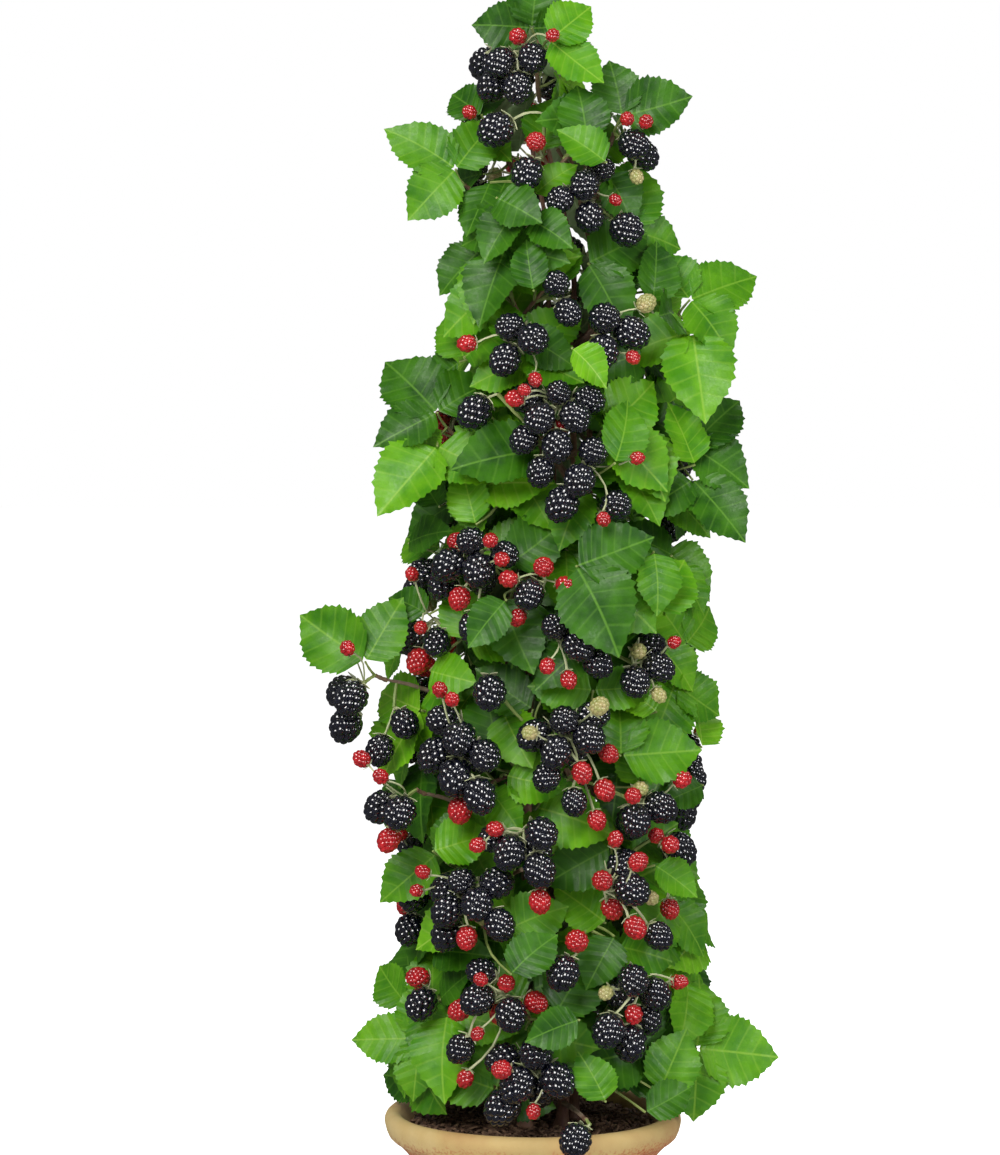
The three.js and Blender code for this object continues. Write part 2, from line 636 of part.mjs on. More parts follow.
// The small mass at a bough's tip: leaves that spread outwards and face the front, and perhaps a truss
function growShoot(shoot, bough, seed, limbs) {
  const facing = outward(shoot.bearing);
  const root = bough.end.clone().addScaledVector(bough.heading, clearance);
  const hub = root.clone().addScaledVector(bough.heading, 9);
  const growth = new Growth(ball(bough.end), seed);
  growth.addTwig(root, hub, boughTipRadius, boughTipRadius * 0.9, 0);
  const sideways = up.clone().cross(facing);
  const toFront = sideways.y < 0 ? sideways : sideways.negate();
  if (shoot.berries) {
    const drop = shoot.berries === 1 ? 2 : 6;
    const joint = hub.clone().addScaledVector(facing, 9).addScaledVector(up, -drop);
    growth.addTruss(hub, joint, facing, shoot.berries);
  }
  shoot.leaves.forEach((turn, k) => {
    const joint = hub.clone().addScaledVector(facing, 10).addScaledVector(toFront, 10).addScaledVector(up, k ? -14 : 12);
    growth.addLeaf(hub, joint, toFront.clone().addScaledVector(facing, 0.25).normalize(), turn, shoot.size);
  });
  return growth.finish(limbs);
}

// The mass at the tip: its stem carries the leading cane on upwards, and each stalk leaves it a little below its end.
function growTip(seed, limbs) {
  const root = caneAt(canes[0], canes[0].top).addScaledVector(up, clearance);
  const hub = root.clone().addScaledVector(up, tipStem);
  const growth = new Growth(wedge(0, 180, tipLow, outline[outline.length - 1].height), seed);
  growth.addTwig(root, hub, caneTipRadius, caneTipRadius * 0.9, 0);
  const rootFor = (joint) => {
    const share = THREE.MathUtils.clamp((joint.z - 8 - root.z) / tipStem, 0.1, 0.95);
    return root.clone().lerp(hub, share);
  };
  for (const { bearing, height, berries } of tipTrusses) {
    const joint = place(bearing, crownAt("radius", height) - 34, height + 10);
    growth.addTruss(rootFor(joint), joint, outward(bearing), berries);
  }
  for (const { bearing, distance, height, turn } of tipLeaves) {
    const joint = place(bearing, distance, height);
    growth.addLeaf(rootFor(joint), joint, outward(bearing), turn, tipLeafSize, turn > 120 ? -0.4 : 0.8);
  }
  return growth.finish(limbs);
}

// Trusses given by their place in the front view, as bearings and heights on the crown
function placed(rows) {
  return rows.map(([x, height, berries]) => {
    const share = (x - crownAt("axisX", height)) / (crownAt("radius", height) - 20);
    return { bearing: THREE.MathUtils.radToDeg(Math.asin(THREE.MathUtils.clamp(share, -0.98, 0.98))), height, berries };
  });
}

const trusses = placed(frontTrusses);
for (let k = 0; k < backTrusses; k++) {
  const bearing = between(backArc, ((k * backTurn) % 360) / 360);
  const height = crownLow + 24 + ((tierCount * tierHeight - 40) * (k + 0.5)) / backTrusses;
  trusses.push({ bearing, height, berries: backBerries[k % backBerries.length] });
}

const bramble = new THREE.Group();
bramble.add(named("pot", turned(potProfile()), terracotta));
bramble.add(named("soil", turned(soilProfile()), compost));

const grownCanes = canes.map(makeCane);
canes.forEach((cane, i) => bramble.add(named(cane.name, grownCanes[i].solid, bark)));
const boughs = shoots.map((shoot) => makeBough(shoot, grownCanes[shoot.cane]));
shoots.forEach((shoot, i) => bramble.add(named(`bough_${shoot.name}`, boughs[i].solid, greenShoot)));

const limbs = [...grownCanes, ...boughs];
let seed = 1;
shoots.forEach((shoot, i) => {
  bramble.add(named(`foliage_shoot_${shoot.name}`, growShoot(shoot, boughs[i], seed++, limbs), foliage));
});
bramble.add(named("foliage_tip", growTip(seed++, limbs), foliage));
for (let level = 0; level < tierCount; level++) {
  for (let sector = 0; sector < 3; sector++) {
    const bearing = sector * 120 + (level % 2) * 60;
    const name = `foliage_tier${level + 1}_${sides[bearing]}`;
    bramble.add(named(name, growMass(level, bearing, seed++, limbs), foliage));
  }
}

export default bramble;
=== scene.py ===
# A potted bramble in fruit, dressed over its solids: a thrown terracotta pot, bark compost, barked canes and
# boughs, and leaves, twigs and berries that grow by the same seeded rule as the solids, then go on to finer
# twigs. Growth is worked out in millimetres. A bearing of 0 is the front (-Y) and 90 the right (+X).
import bpy
import math
import numpy as np
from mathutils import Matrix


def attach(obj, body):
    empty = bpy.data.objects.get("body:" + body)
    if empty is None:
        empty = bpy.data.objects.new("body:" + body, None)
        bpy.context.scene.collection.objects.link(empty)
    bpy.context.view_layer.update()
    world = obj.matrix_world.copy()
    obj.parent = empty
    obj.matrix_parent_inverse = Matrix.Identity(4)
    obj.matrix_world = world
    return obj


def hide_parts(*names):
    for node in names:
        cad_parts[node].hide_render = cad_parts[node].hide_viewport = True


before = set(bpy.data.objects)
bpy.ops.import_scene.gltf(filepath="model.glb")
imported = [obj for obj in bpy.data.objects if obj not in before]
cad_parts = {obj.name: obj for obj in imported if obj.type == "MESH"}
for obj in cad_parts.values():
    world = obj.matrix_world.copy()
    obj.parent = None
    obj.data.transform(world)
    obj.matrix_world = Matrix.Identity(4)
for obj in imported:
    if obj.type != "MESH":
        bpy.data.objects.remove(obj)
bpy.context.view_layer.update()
mm = 0.001

camera = {"at": (-0.0264, -2.7, 0.74), "looksAt": 0.624, "lens": 105.2, "sensor": 36}

crown = {
    # height, radius, and how far right of the pot's middle the axis stands
    "outline": [(183, 122, 8), (300, 130, 12), (560, 126, 14), (760, 108, 20), (880, 84, 27), (980, 66, 6),
                (1110, 58, -3)],
    "standOut": 12,
    "low": 203,
    "tierHeight": 114,
    "tiers": 7,
    "sectorHalf": 60,
    "interlock": 15,
    # the sectors' names from the front round by the right: each tier takes every other one
    "sides": ["front", "front_right", "back_right", "back", "back_left", "front_left"],
    # heights at which the crown's pieces are parted
    "bandEdges": (431, 659, 887),
    # how far above its foot a tier is looked up in them
    "bandRise": 20,
}

massShape = {
    # where the stem leaves its cane (in tier heights), forks, and where the forks end (in crown radii)
    "root": 0.3,
    "hub": 0.42,
    "fork": 0.56,
    "forkRise": 24,
    "forkTurns": [-42, -14, 14, 42],
    # twigs leave a fork from this share of its length on, over the rest
    "alongFork": (0.35, 0.65),
    "trussDepth": 28,
    "trussRise": 12,
    # where a truss is tried in turn, as a bearing and a height away from its own
    "trussShifts": [(0, 0), (6, 4), (-6, -4), (-5, 12), (5, -12), (0, -20), (0, 20)],
    "leaves": 8,
    "slots": 38,
    # leaves: share of the sector's width, heights in the tier, depths, and how far they may turn
    "leafWidth": 0.92,
    "leafHeights": (0.12, 0.86),
    "leafDepths": (12, 20),
    "leafTurn": 220,
    # steps that deal places out evenly over a mass, across and up, and along a twig
    "steps": (0.7549, 0.5698),
    "twigStep": 0.618,
}

# the smaller leaves that come after, dealt out in the same way from another start
finerShape = {
    "leaves": 22,
    "slots": 100,
    "start": (0.37, 0.21),
    "leafWidth": 0.96,
    "leafHeights": (0.06, 0.94),
    # four depths in turn, each with its leaf size; they hold at the outline's third row and shrink with it
    "depths": (0, 18, 38, 62),
    "loose": 8,
    "sizes": (0.78, 0.84, 0.92, 1.0),
    "sizeShares": (0.9, 0.2),
    "leafTurn": 240,
    "aside": 70,
}

# name, bearing, top, spread at the tip, sway, phase
canes = [
    ("cane_front_right", 36, 1004, 2, 7, 0.4),
    ("cane_right", 108, 962, 20, -8, 1.9),
    ("cane_back", 180, 948, 20, 9, 3.1),
    ("cane_left", 252, 954, 20, -7, 4.2),
    ("cane_front_left", 324, 976, 14, 8, 5.5),
]
caneShape = {"soilTop": 183, "foot": 5.2, "tip": 1.7, "flare": 2.4, "flareHeight": 14, "thinning": 0.85,
             "spread": 25, "belly": 13, "bellyEnd": 1.1, "swaying": 5.2}
boughShape = {"foot": 2.8, "tip": 1.6, "shootReach": 98}

twigShape = {"stem": (3, 2.6), "twig": 1.5, "truss": (1.1, 1.5), "stalk": 0.72, "clearance": 0.3}
# radii at both ends, and how far each kind of stalk bows, as a share of its length
stalkShapes = {"leaf": ((1.15, 0.8), 0.08), "berry": ((0.85, 1.0), 0.16), "young": ((0.6, 0.75), 0.2)}
leafShape = {
    "length": (60, 78),
    "thickness": 2.4,
    "halfWidth": 0.37,
    "widest": 0.46,
    # a blade is folded along its midrib and droops from part of its length on
    "fold": 0.07,
    "droop": 0.1,
    "droopFrom": 0.45,
    "sideSize": 0.86,
    "sideTurn": 86,
    "swings": [0, 30, -30, 60, -60, 90, -90, 120, -120, 150],
    "depths": [0, -14, 12],
    # how far a blade's face turns up and sideways, and the least slope of its stalk
    "rise": (0.2, 0.35),
    "lean": 0.4,
    "leastSlope": {"first": 0.32, "finer": 0.05},
    "frontTurn": 42,
    # which of the tints a leaf takes below which share; tint 2, the darkest green, is painted shade
    "tints": [(2, 0.2), (0, 0.55), (1, 0.88), (3, 1)],
}
berryShape = {
    "radius": (12, 14.2),
    "stretch": 1.14,
    # how far a berry hangs down and leans outwards on its stalk, and where in it the stalk ends
    "sag": 0.35,
    "lean": 0.2,
    "stalkEnd": 0.93,
    # across, up and outwards from the truss's joint, in berry widths: the solids' three, then the others
    "places": [(-0.54, -0.38, 0.5), (0.54, -0.3, 0.46), (0.02, -1.2, 0.5)],
    "morePlaces": [(0.0, 0.42, 0.34), (-0.98, -1.04, 0.12), (0.98, -0.96, 0.14), (0.52, -1.92, 0.3),
                   (-0.44, -1.98, 0.26), (0.02, -0.66, -0.3), (0.92, 0.22, -0.1), (-0.92, 0.2, -0.12),
                   (0.04, -2.7, 0.2), (-1.0, -1.9, 0.05), (1.05, -1.84, 0.05), (-0.46, 0.6, -0.05),
                   (0.5, 0.64, -0.05), (0.52, -2.8, 0.0)],
    "countOf": {1: 2, 2: 4, 3: 7, 4: 9, 5: 12, 6: 15},
    "sizes": {"ripe": 1, "red": 0.66, "green": 0.5},
    # how far a truss may turn, its berries' spacing and overlap, and the sizes of the added ones
    "turn": 70,
    "spacing": 2.1,
    "overlap": 0.88,
    "added": (0.82, 0.26),
    # up to which share a berry is ripe, among the solids' own and the added ones, or red
    "ripe": {True: 0.76, False: 0.56},
    "red": 0.95,
    # room for light in front of a berry: how far out and how wide, in its radii
    "light": (1.6, 0.7),
}
# berries that a truss needs to bear young fruits, how many it tries and keeps, their place and size in its
# berries' radius, where their stalks are tested for room, how many turn red, and the radius in millimetres
# under which a fruit has fewer drupelets
youngFruit = {"from": 3, "tries": 50, "most": 2, "aside": (1.2, 3.2), "out": (0.8, 2.2),
              "stalkTests": (0.45, 0.7), "size": (0.4, 0.6), "red": 0.82, "under": 7.5}

# The trusses in front: how far right of the pot's middle, how high, and how many berries the rule counts
frontTrusses = [
    (2, 236, 5), (-26, 292, 6), (86, 304, 4), (-90, 284, 2), (34, 324, 2), (-54, 368, 5), (58, 372, 6),
    (102, 410, 3), (-10, 420, 5), (84, 440, 4), (-66, 492, 4), (26, 496, 6), (-42, 540, 3), (83, 548, 5),
    (18, 568, 3), (-88, 580, 4), (8, 614, 3), (-50, 632, 5), (66, 660, 6), (46, 702, 3), (18, 748, 6),
    (-26, 762, 4), (58, 806, 2), (-14, 800, 3), (14, 832, 2), (76, 888, 1), (52, 924, 4), (8, 944, 2),
    (10, 978, 5),
]
frontInset = 20
# the others follow a spiral round the back, from a little above the crown's foot to a little below its top
backTrusses = {"count": 27, "turn": 137.5, "arc": (80, 280), "start": 24, "ends": 40,
               "berries": [5, 3, 4, 2, 6, 3]}
# the smaller trusses under a side shoot: at which of its points and with how many berries
hangingTrusses = {"points": 12, "at": ((10, 2), (8, 3)), "outwards": 0.3, "out": 7, "drop": 20, "most": 3}

# name, cane, root height, bearing, tip distance and height, berries, leaf size, leaf turns
shoots = [
    ("top_right", 1, 900, 70, (56, 968), 4, 0.78, [72]),
    ("upper_left", 3, 890, 285, (66, 930), 0, 1, [-128, -62]),
    ("upper_right", 1, 786, 84, (84, 828), 0, 1, [118, 66]),
    ("mid_right", 1, 668, 80, (92, 712), 0, 1, [140, 96]),
    ("mid_left", 3, 690, 284, (84, 738), 0, 1, [-142, -92]),
    ("lower_left", 3, 500, 282, (134, 544), 5, 1, [-124, -76]),
    ("low_left", 3, 416, 298, (112, 456), 3, 1, []),
    ("bottom_right", 1, 208, 84, (104, 234), 0, 1, [82]),
    ("bottom_left", 3, 208, 276, (84, 240), 0, 0.85, [-88]),
    ("rim", 0, 204, 14, (122, 212), 1, 1, []),
    ("back_high", 2, 776, 168, (88, 812), 2, 1, [112, 70]),
    ("back_low", 2, 380, 204, (116, 424), 3, 1, [-110, -70]),
]

# where a side shoot's twigs part, how far out its truss and leaves stand, and how high its two leaves
shootShape = {"hub": 9, "trussOut": 9, "leafOut": 10, "leafRises": (12, -14), "leafLean": 0.25}

tip = {
    "low": 996,
    "stem": 52,
    "trussDepth": 34,
    "trussRise": 10,
    "leafSize": 0.86,
    # bearing, distance, height, turn
    "leaves": [(350, 10, 1060, 176), (184, 14, 1036, 170), (300, 34, 1018, -64), (62, 34, 1022, 58),
               (130, 34, 1012, 40), (236, 34, 1014, -40), (12, 40, 1046, -16)],
    # bearing, height, berries
    "trusses": [(338, 1030, 5), (40, 1038, 3), (318, 1002, 3), (176, 1022, 4), (262, 1034, 3)],
}


# Small sums that every part of the growth uses

up = np.array([0.0, 0.0, 1.0])


def unit(v):
    return v / np.linalg.norm(v)


def between(pair, share):
    return pair[0] + (pair[1] - pair[0]) * share


def upFrom(pair, share):
    # the first value, and a share of the second on top of it
    return pair[0] + pair[1] * share


class Draw:
    # the seeded draw: a number from 0 to 1 each time
    def __init__(self, seed):
        self.state = (seed * 2654435761) & 0xFFFFFFFF

    def next(self):
        self.state = (self.state * 1664525 + 1013904223) & 0xFFFFFFFF
        return self.state / 4294967296


outlineRows = np.array(crown["outline"], float)


def crownAt(column, height):
    # the crown's radius (1) or axis (2) at a height or at many, between the outline's rows
    rows = outlineRows
    after = np.clip(np.searchsorted(rows[:, 0], height, side="right"), 1, len(rows) - 1)
    low, high = rows[after - 1], rows[after]
    share = (height - low[..., 0]) / (high[..., 0] - low[..., 0])
    return low[..., column] + (high[..., column] - low[..., column]) * share


def outward(bearing):
    angle = math.radians(bearing)
    return np.array([math.sin(angle), -math.cos(angle), 0.0])


def leafFacing(bearing):
    # leaves turn to the light in front: most at the sides, not at all at the front and the back
    return outward(bearing - leafShape["frontTurn"] * math.sin(math.radians(bearing)))


def place(bearing, distance, height):
    return outward(bearing) * distance + np.array([crownAt(2, height), 0.0, height])


def caneAt(cane, height):
    _, bearing, top, tipSpread, sway, phase = cane
    foot = caneShape["soilTop"] + twigShape["clearance"]
    t = (height - foot) / (top - foot)
    rounded = math.sin(math.pi * min(1, t * caneShape["bellyEnd"]))
    belly = caneShape["spread"] + caneShape["belly"] * rounded
    spread = belly + (tipSpread - belly) * t ** 3
    turn = sway * math.sin(caneShape["swaying"] * t + phase) * min(1, 4 * t)
    return place(bearing + turn, spread, height)


def besides(heading):
    return np.array([1.0, 0.0, 0.0]) if abs(heading[2]) > 0.9 else up


def squareTo(heading, reference):
    across = unit(reference - heading * reference.dot(heading))
    return across, np.cross(heading, across)


# Where twigs, leaves and berries may be

def wedge(bearing, halfAngle, low, high):
    walls = [outward(bearing + halfAngle - 90), outward(bearing - halfAngle + 90)]
    floor = max(low - crown["interlock"], crown["low"] - 3)

    def holds(points, margin):
        points = np.atleast_2d(points)
        z = points[:, 2]
        inside = (z >= floor + margin) & (z <= high + crown["interlock"] - margin)
        flat = points.copy()
        flat[:, 0] -= crownAt(2, z)
        flat[:, 2] = 0
        inside &= np.linalg.norm(flat, axis=1) <= crownAt(1, z) + crown["standOut"] - margin
        if halfAngle < 180:
            for wall in walls:
                inside &= flat @ wall > margin - crown["interlock"]
        return inside
    return holds


def ball(centre):
    def holds(points, margin):
        return np.linalg.norm(np.atleast_2d(points) - centre, axis=1) < boughShape["shootReach"] - margin
    return holds


spots = np.array([
    (0.25, 0), (0.5, 0), (0.75, 0), (0.97, 0), (0.25, 0.18), (0.25, -0.18),
    (0.42, 0.32), (0.42, -0.32), (0.66, 0.2), (0.66, -0.2), (0.84, 0.08), (0.84, -0.08),
])


def bladeLift(x, y):
    fold = leafShape["fold"] * np.minimum(1, np.abs(y) / leafShape["halfWidth"])
    past = (x - leafShape["droopFrom"]) / (1 - leafShape["droopFrom"])
    return fold - leafShape["droop"] * np.maximum(0, past)


class Leaflet:
    # one blade of a compound leaf: its place, its own three directions and its length
    def __init__(self, base, along, normal, length, owner):
        self.base = base
        self.normal = normal
        self.along = unit(along - normal * along.dot(normal))
        self.side = np.cross(normal, self.along)
        self.length = length
        self.owner = owner
        self.beads = self.points(spots[:, 0], spots[:, 1])
        self.middle = self.points(np.array([0.5]), np.array([0.0]))[0]

    def points(self, x, y):
        flat = np.outer(x, self.along) + np.outer(y, self.side) + np.outer(bladeLift(x, y), self.normal)
        return self.base + flat * self.length


def bladesMeet(base, along, side, normal, length, points, radii):
    # which of many blades (rows) meet which of many beads (columns)
    gap = (points[None, :, :] - base[:, None, :]) / length[:, None, None]
    x = np.einsum("ijk,ik->ij", gap, along)
    y = np.einsum("ijk,ik->ij", gap, side)
    z = np.einsum("ijk,ik->ij", gap, normal)
    reach = radii[None, :] / length[:, None]
    inside = np.clip(x, 0, 1)
    widest = leafShape["widest"]
    half = leafShape["halfWidth"] * np.minimum(inside / widest, (1 - inside) / (1 - widest))
    touching = (x >= -reach) & (x <= 1 + reach) & (np.abs(y) <= half + reach)
    thick = leafShape["thickness"] / length[:, None]
    return touching & (np.abs(z - bladeLift(inside, y)) < reach + thick)


class Grown:
    # all that has grown so far, kept in arrays for a new twig, blade or berry to be tested against
    def __init__(self):
        room, leafRoom = 60000, 3000
        self.at = np.zeros((room, 3))
        self.radius = np.zeros(room)
        self.owner = np.zeros(room, int)
        self.light = np.zeros(room, bool)
        self.solid = np.zeros(room, bool)
        self.count = 0
        for name in ("base", "along", "side", "normal", "middle"):
            setattr(self, name, np.zeros((leafRoom, 3)))
        self.length = np.ones(leafRoom)
        self.leafOwner = np.zeros(leafRoom, int)
        self.blade = np.zeros((leafRoom, len(spots), 3))
        self.leaves = 0
        self.owners = 0

    def addBeads(self, points, radii, owner, light=False, solid=False):
        last = self.count + len(points)
        rows = slice(self.count, last)
        self.at[rows] = points
        self.radius[rows] = radii
        self.owner[rows] = owner
        self.light[rows] = light
        self.solid[rows] = solid
        self.count = last

    def addLeaflet(self, one):
        for name in ("base", "along", "side", "normal", "middle", "length"):
            getattr(self, name)[self.leaves] = getattr(one, name)
        self.leafOwner[self.leaves] = one.owner
        self.blade[self.leaves] = one.beads
        self.leaves += 1

    def distances(self, point):
        return np.linalg.norm(self.at[:self.count] - point, axis=1)

    def frames(self, rows):
        return [part[rows] for part in (self.base, self.along, self.side, self.normal, self.length)]

    def leafMeets(self, points, radii):
        # only blades near the points are tested
        reach = 60 + np.ptp(points, axis=0).max() + 30
        near = np.linalg.norm(self.middle[:self.leaves] - points.mean(axis=0), axis=1) < reach
        rows = np.nonzero(near)[0]
        return len(rows) > 0 and bladesMeet(*self.frames(rows), points, radii).any()

    def bladeIsFree(self, one):
        reach = one.length * 0.6
        near = self.distances(one.middle) < reach + self.radius[:self.count]
        rows = np.nonzero(near & (self.owner[:self.count] != one.owner))[0]
        single = (one.base[None], one.along[None], one.side[None], one.normal[None], np.array([one.length]))
        if len(rows) and bladesMeet(*single, self.at[rows], self.radius[rows]).any():
            return False
        near = np.linalg.norm(self.middle[:self.leaves] - one.middle, axis=1) < reach * 2
        rows = np.nonzero(near & (self.leafOwner[:self.leaves] != one.owner))[0]
        if not len(rows):
            return True
        others = self.blade[rows].reshape(-1, 3)
        beadRadius = 1.5
        return not (bladesMeet(*self.frames(rows), one.beads, np.full(len(spots), beadRadius)).any()
                    or bladesMeet(*single, others, np.full(len(others), beadRadius)).any())


grown = Grown()

# what the growth leaves for the meshes to be made from; a band is the stretch of the crown that it is in
tubes = []      # kind, points, radii
blades = []     # leaflet, tint, band
fruits = []     # centre, heading, radius, ripeness, band
clusters = []   # growth, joint, radius, across, rise, facing of each truss, with its number of berries


def alongLine(start, end, step=6):
    count = math.ceil(np.linalg.norm(end - start) / step)
    return start + np.outer(np.arange(count + 1) / max(1, count), end - start)


def bowed(start, end, draw, bow, steps=5):
    # a twig's own line: straight overall, with one bow to a side
    heading = unit(end - start)
    across, rise = squareTo(heading, besides(heading))
    angle = 2 * math.pi * draw.next()
    push = (across * math.cos(angle) + rise * math.sin(angle)) * np.linalg.norm(end - start) * bow
    t = np.linspace(0, 1, steps + 1)
    return start + np.outer(t, end - start) + np.outer(np.sin(math.pi * t), push)


class Growth:
    def __init__(self, holds, seed, band):
        self.holds = holds
        self.draw = Draw(seed)
        self.fine = Draw(seed + 500)
        self.band = band

    def addTube(self, kind, start, end, radii, bow=0.05):
        points = bowed(start, end, self.fine, bow)
        tubes.append((kind, points, np.linspace(radii[0], radii[1], len(points))))

    def addTwig(self, start, end, radiusStart, radiusEnd, owner, kind="twig"):
        self.addTube(kind, start, end, (radiusStart, radiusEnd))
        points = alongLine(start, end)
        grown.addBeads(points, radiusStart, owner)

    def twigIsClear(self, start, end, radius, finer=False):
        points = alongLine(start, end)
        free = points[2:]
        if len(free) and not self.holds(free, radius).all():
            return False
        radii = np.full(len(points), radius + 1)
        if grown.leafMeets(points, radii):
            return False
        k = grown.count
        for i, point in enumerate(free):
            near = grown.distances(point) < grown.radius[:k] + radius + 1
            near &= ~grown.light[:k]
            # limbs and berries bar any twig, and other twigs only the last stretch of a first one
            if finer or i < len(free) - 3:
                near &= grown.solid[:k]
            if near.any():
                return False
        return True

    def bladeIsClear(self, one):
        return self.holds(one.beads, 0.5).all() and grown.bladeIsFree(one)

    def addLeaf(self, start, joint, facing, turn, share=1.0, tilt=1.0, finer=False):
        # a compound leaf of two or three blades, turned and set deeper by tries until it fits
        grown.owners += 1
        owner = grown.owners
        size = between(leafShape["length"], self.draw.next()) * share
        rise = upFrom(leafShape["rise"], self.draw.next()) * tilt
        lean = (self.draw.next() - 0.5) * leafShape["lean"]
        sideways = unit(np.cross(up, facing))
        normal = unit(facing + up * rise + sideways * lean)
        radius = twigShape["stalk"]
        leastSlope = leafShape["leastSlope"]["finer" if finer else "first"]
        turned, small = leafShape["sideTurn"], leafShape["sideSize"]
        for depth in leafShape["depths"]:
            end = joint + facing * depth
            if unit(end - start).dot(normal) < leastSlope:
                continue
            if not self.twigIsClear(start, end, radius, finer):
                continue
            for swing in leafShape["swings"]:
                kept = []
                for extra, part in ((0, 1), (turned, small), (-turned, small)):
                    angle = math.radians(turn + swing + extra)
                    along = sideways * math.sin(angle) - up * math.cos(angle)
                    one = Leaflet(end, along, normal, size * part, owner)
                    if self.bladeIsClear(one):
                        kept.append(one)
                if len(kept) < (1 if finer else 2):
                    continue
                tint = self.tintOf(finer)
                for one in kept:
                    grown.addLeaflet(one)
                    blades.append((one, tint, self.band))
                grown.addBeads(alongLine(start, end), radius, owner)
                self.addTube("stalk", start, end - normal * 0.4, *stalkShapes["leaf"])
                return True
        return False

    def tintOf(self, finer):
        # about half of the finer, inner leaves take the darkest tint, a painted shade for the shade inside
        # the crown
        share = self.fine.next() ** (2.2 if finer else 1)
        return next(tint for tint, below in leafShape["tints"] if share < below)

    def addTruss(self, start, joint, facing, berries, most=20):
        # berries on short stalks round the end of a twig, with room for light in front of them
        grown.owners += 1
        owner = grown.owners
        roll = math.radians((self.draw.next() - 0.5) * berryShape["turn"])
        radius = between(berryShape["radius"], self.draw.next())
        if not self.twigIsClear(start, joint, twigShape["twig"]):
            return False
        level = np.cross(up, facing)
        upright = np.cross(facing, level)
        across = level * math.cos(roll) + upright * math.sin(roll)
        rise = np.cross(facing, across)
        solidCount = min(3, math.ceil(berries / 2))
        places = berryShape["places"][:solidCount]
        more = berryShape["places"][solidCount:] + berryShape["morePlaces"]
        more = more[:max(0, min(most, berryShape["countOf"][berries]) - solidCount)]
        found = []
        for k, (x, y, z) in enumerate(places + more):
            offset = across * x + rise * y + facing * z
            own = radius if k < len(places) else radius * upFrom(berryShape["added"], self.fine.next())
            centre = joint + offset * radius * berryShape["spacing"]
            longRadius = own * berryShape["stretch"]
            if not self.holds(centre, own)[0]:
                continue
            if grown.leafMeets(centre[None], np.array([longRadius])):
                continue
            n = grown.count
            touch = grown.distances(centre) < grown.radius[:n] + longRadius + 0.5
            if (touch & ~grown.light[:n]).any():
                continue
            if any(np.linalg.norm(centre - other) < (own + size) * berryShape["overlap"]
                   for other, _, size, _ in found):
                continue
            heading = unit(offset - up * berryShape["sag"] + facing * berryShape["lean"])
            found.append((centre, heading, own, k < len(places)))
        if not found:
            return False
        self.addTwig(start, joint, *twigShape["truss"], owner, "truss")
        for k, (centre, heading, own, first) in enumerate(found):
            # the last to open are the last to ripen
            share = self.fine.next()
            ripeness = "red" if share < berryShape["red"] else "green"
            if k == 0 or share < berryShape["ripe"][first]:
                ripeness = "ripe"
            size = own * berryShape["sizes"][ripeness]
            top = centre - heading * size * berryShape["stretch"] * berryShape["stalkEnd"]
            self.addTube("pedicel", joint, top, *stalkShapes["berry"])
            fruits.append((centre, heading, size, ripeness, self.band))
            grown.addBeads(centre[None], own * berryShape["stretch"], owner, solid=True)
            out, wide = berryShape["light"]
            grown.addBeads((centre + facing * own * out)[None], own * wide, owner, light=True)
        clusters.append((self, joint, radius, across, rise, facing, len(found)))
        return True


# The masses, one after the other as the solids grow them

def bandOf(height):
    return sum(height >= edge for edge in crown["bandEdges"])


def tierLow(level):
    return crown["low"] + level * crown["tierHeight"]


def bandOfTier(level):
    return bandOf(tierLow(level) + crown["bandRise"])


def growShoot(shoot, seed):
    _, _, _, bearing, tipAt, berries, size, turns = shoot
    foot, _, end = boughLine(shoot)
    heading = unit(end - foot)
    facing = outward(bearing)
    start = end + heading * twigShape["clearance"]
    hub = start + heading * shootShape["hub"]
    growth = Growth(ball(end), seed, bandOf(tipAt[1]))
    growth.addTwig(start - heading * 2, hub, boughShape["tip"], boughShape["tip"] * 0.9, 0)
    sideways = np.cross(up, facing)
    toFront = sideways if sideways[1] < 0 else -sideways
    if berries:
        joint = hub + facing * shootShape["trussOut"] - up * (2 if berries == 1 else 6)
        growth.addTruss(hub, joint, facing, berries, 3 if turns else berries)
    for k, turn in enumerate(turns):
        out = shootShape["leafOut"]
        joint = hub + facing * out + toFront * out + up * shootShape["leafRises"][k]
        growth.addLeaf(hub, joint, unit(toFront + facing * shootShape["leafLean"]), turn, size)
    return growth


def boughLine(shoot):
    _, caneIndex, root, bearing, tipAt, *_ = shoot
    foot = caneAt(canes[caneIndex], root)
    end = place(bearing, tipAt[0], tipAt[1])
    bow = (foot + end) / 2 + up * (tipAt[1] - root) * 0.3
    return foot, bow, end


def growTip(seed):
    root = caneAt(canes[0], canes[0][2]) + up * twigShape["clearance"]
    hub = root + up * tip["stem"]
    growth = Growth(wedge(0, 180, tip["low"], crown["outline"][-1][0]), seed, bandOf(tip["low"]))
    growth.addTwig(root - up * 2, hub, caneShape["tip"], caneShape["tip"] * 0.9, 0)

    def rootFor(joint):
        share = min(0.95, max(0.1, (joint[2] - 8 - root[2]) / tip["stem"]))
        return root + (hub - root) * share
    for bearing, height, berries in tip["trusses"]:
        joint = place(bearing, crownAt(1, height) - tip["trussDepth"], height + tip["trussRise"])
        growth.addTruss(rootFor(joint), joint, outward(bearing), berries, berries)
    for bearing, distance, height, turn in tip["leaves"]:
        joint = place(bearing, distance, height)
        tilt = -0.4 if turn > 120 else 0.8
        growth.addLeaf(rootFor(joint), joint, outward(bearing), turn, tip["leafSize"], tilt)


def turnTo(bearing, other):
    return abs((other - bearing + 540) % 360 - 180)


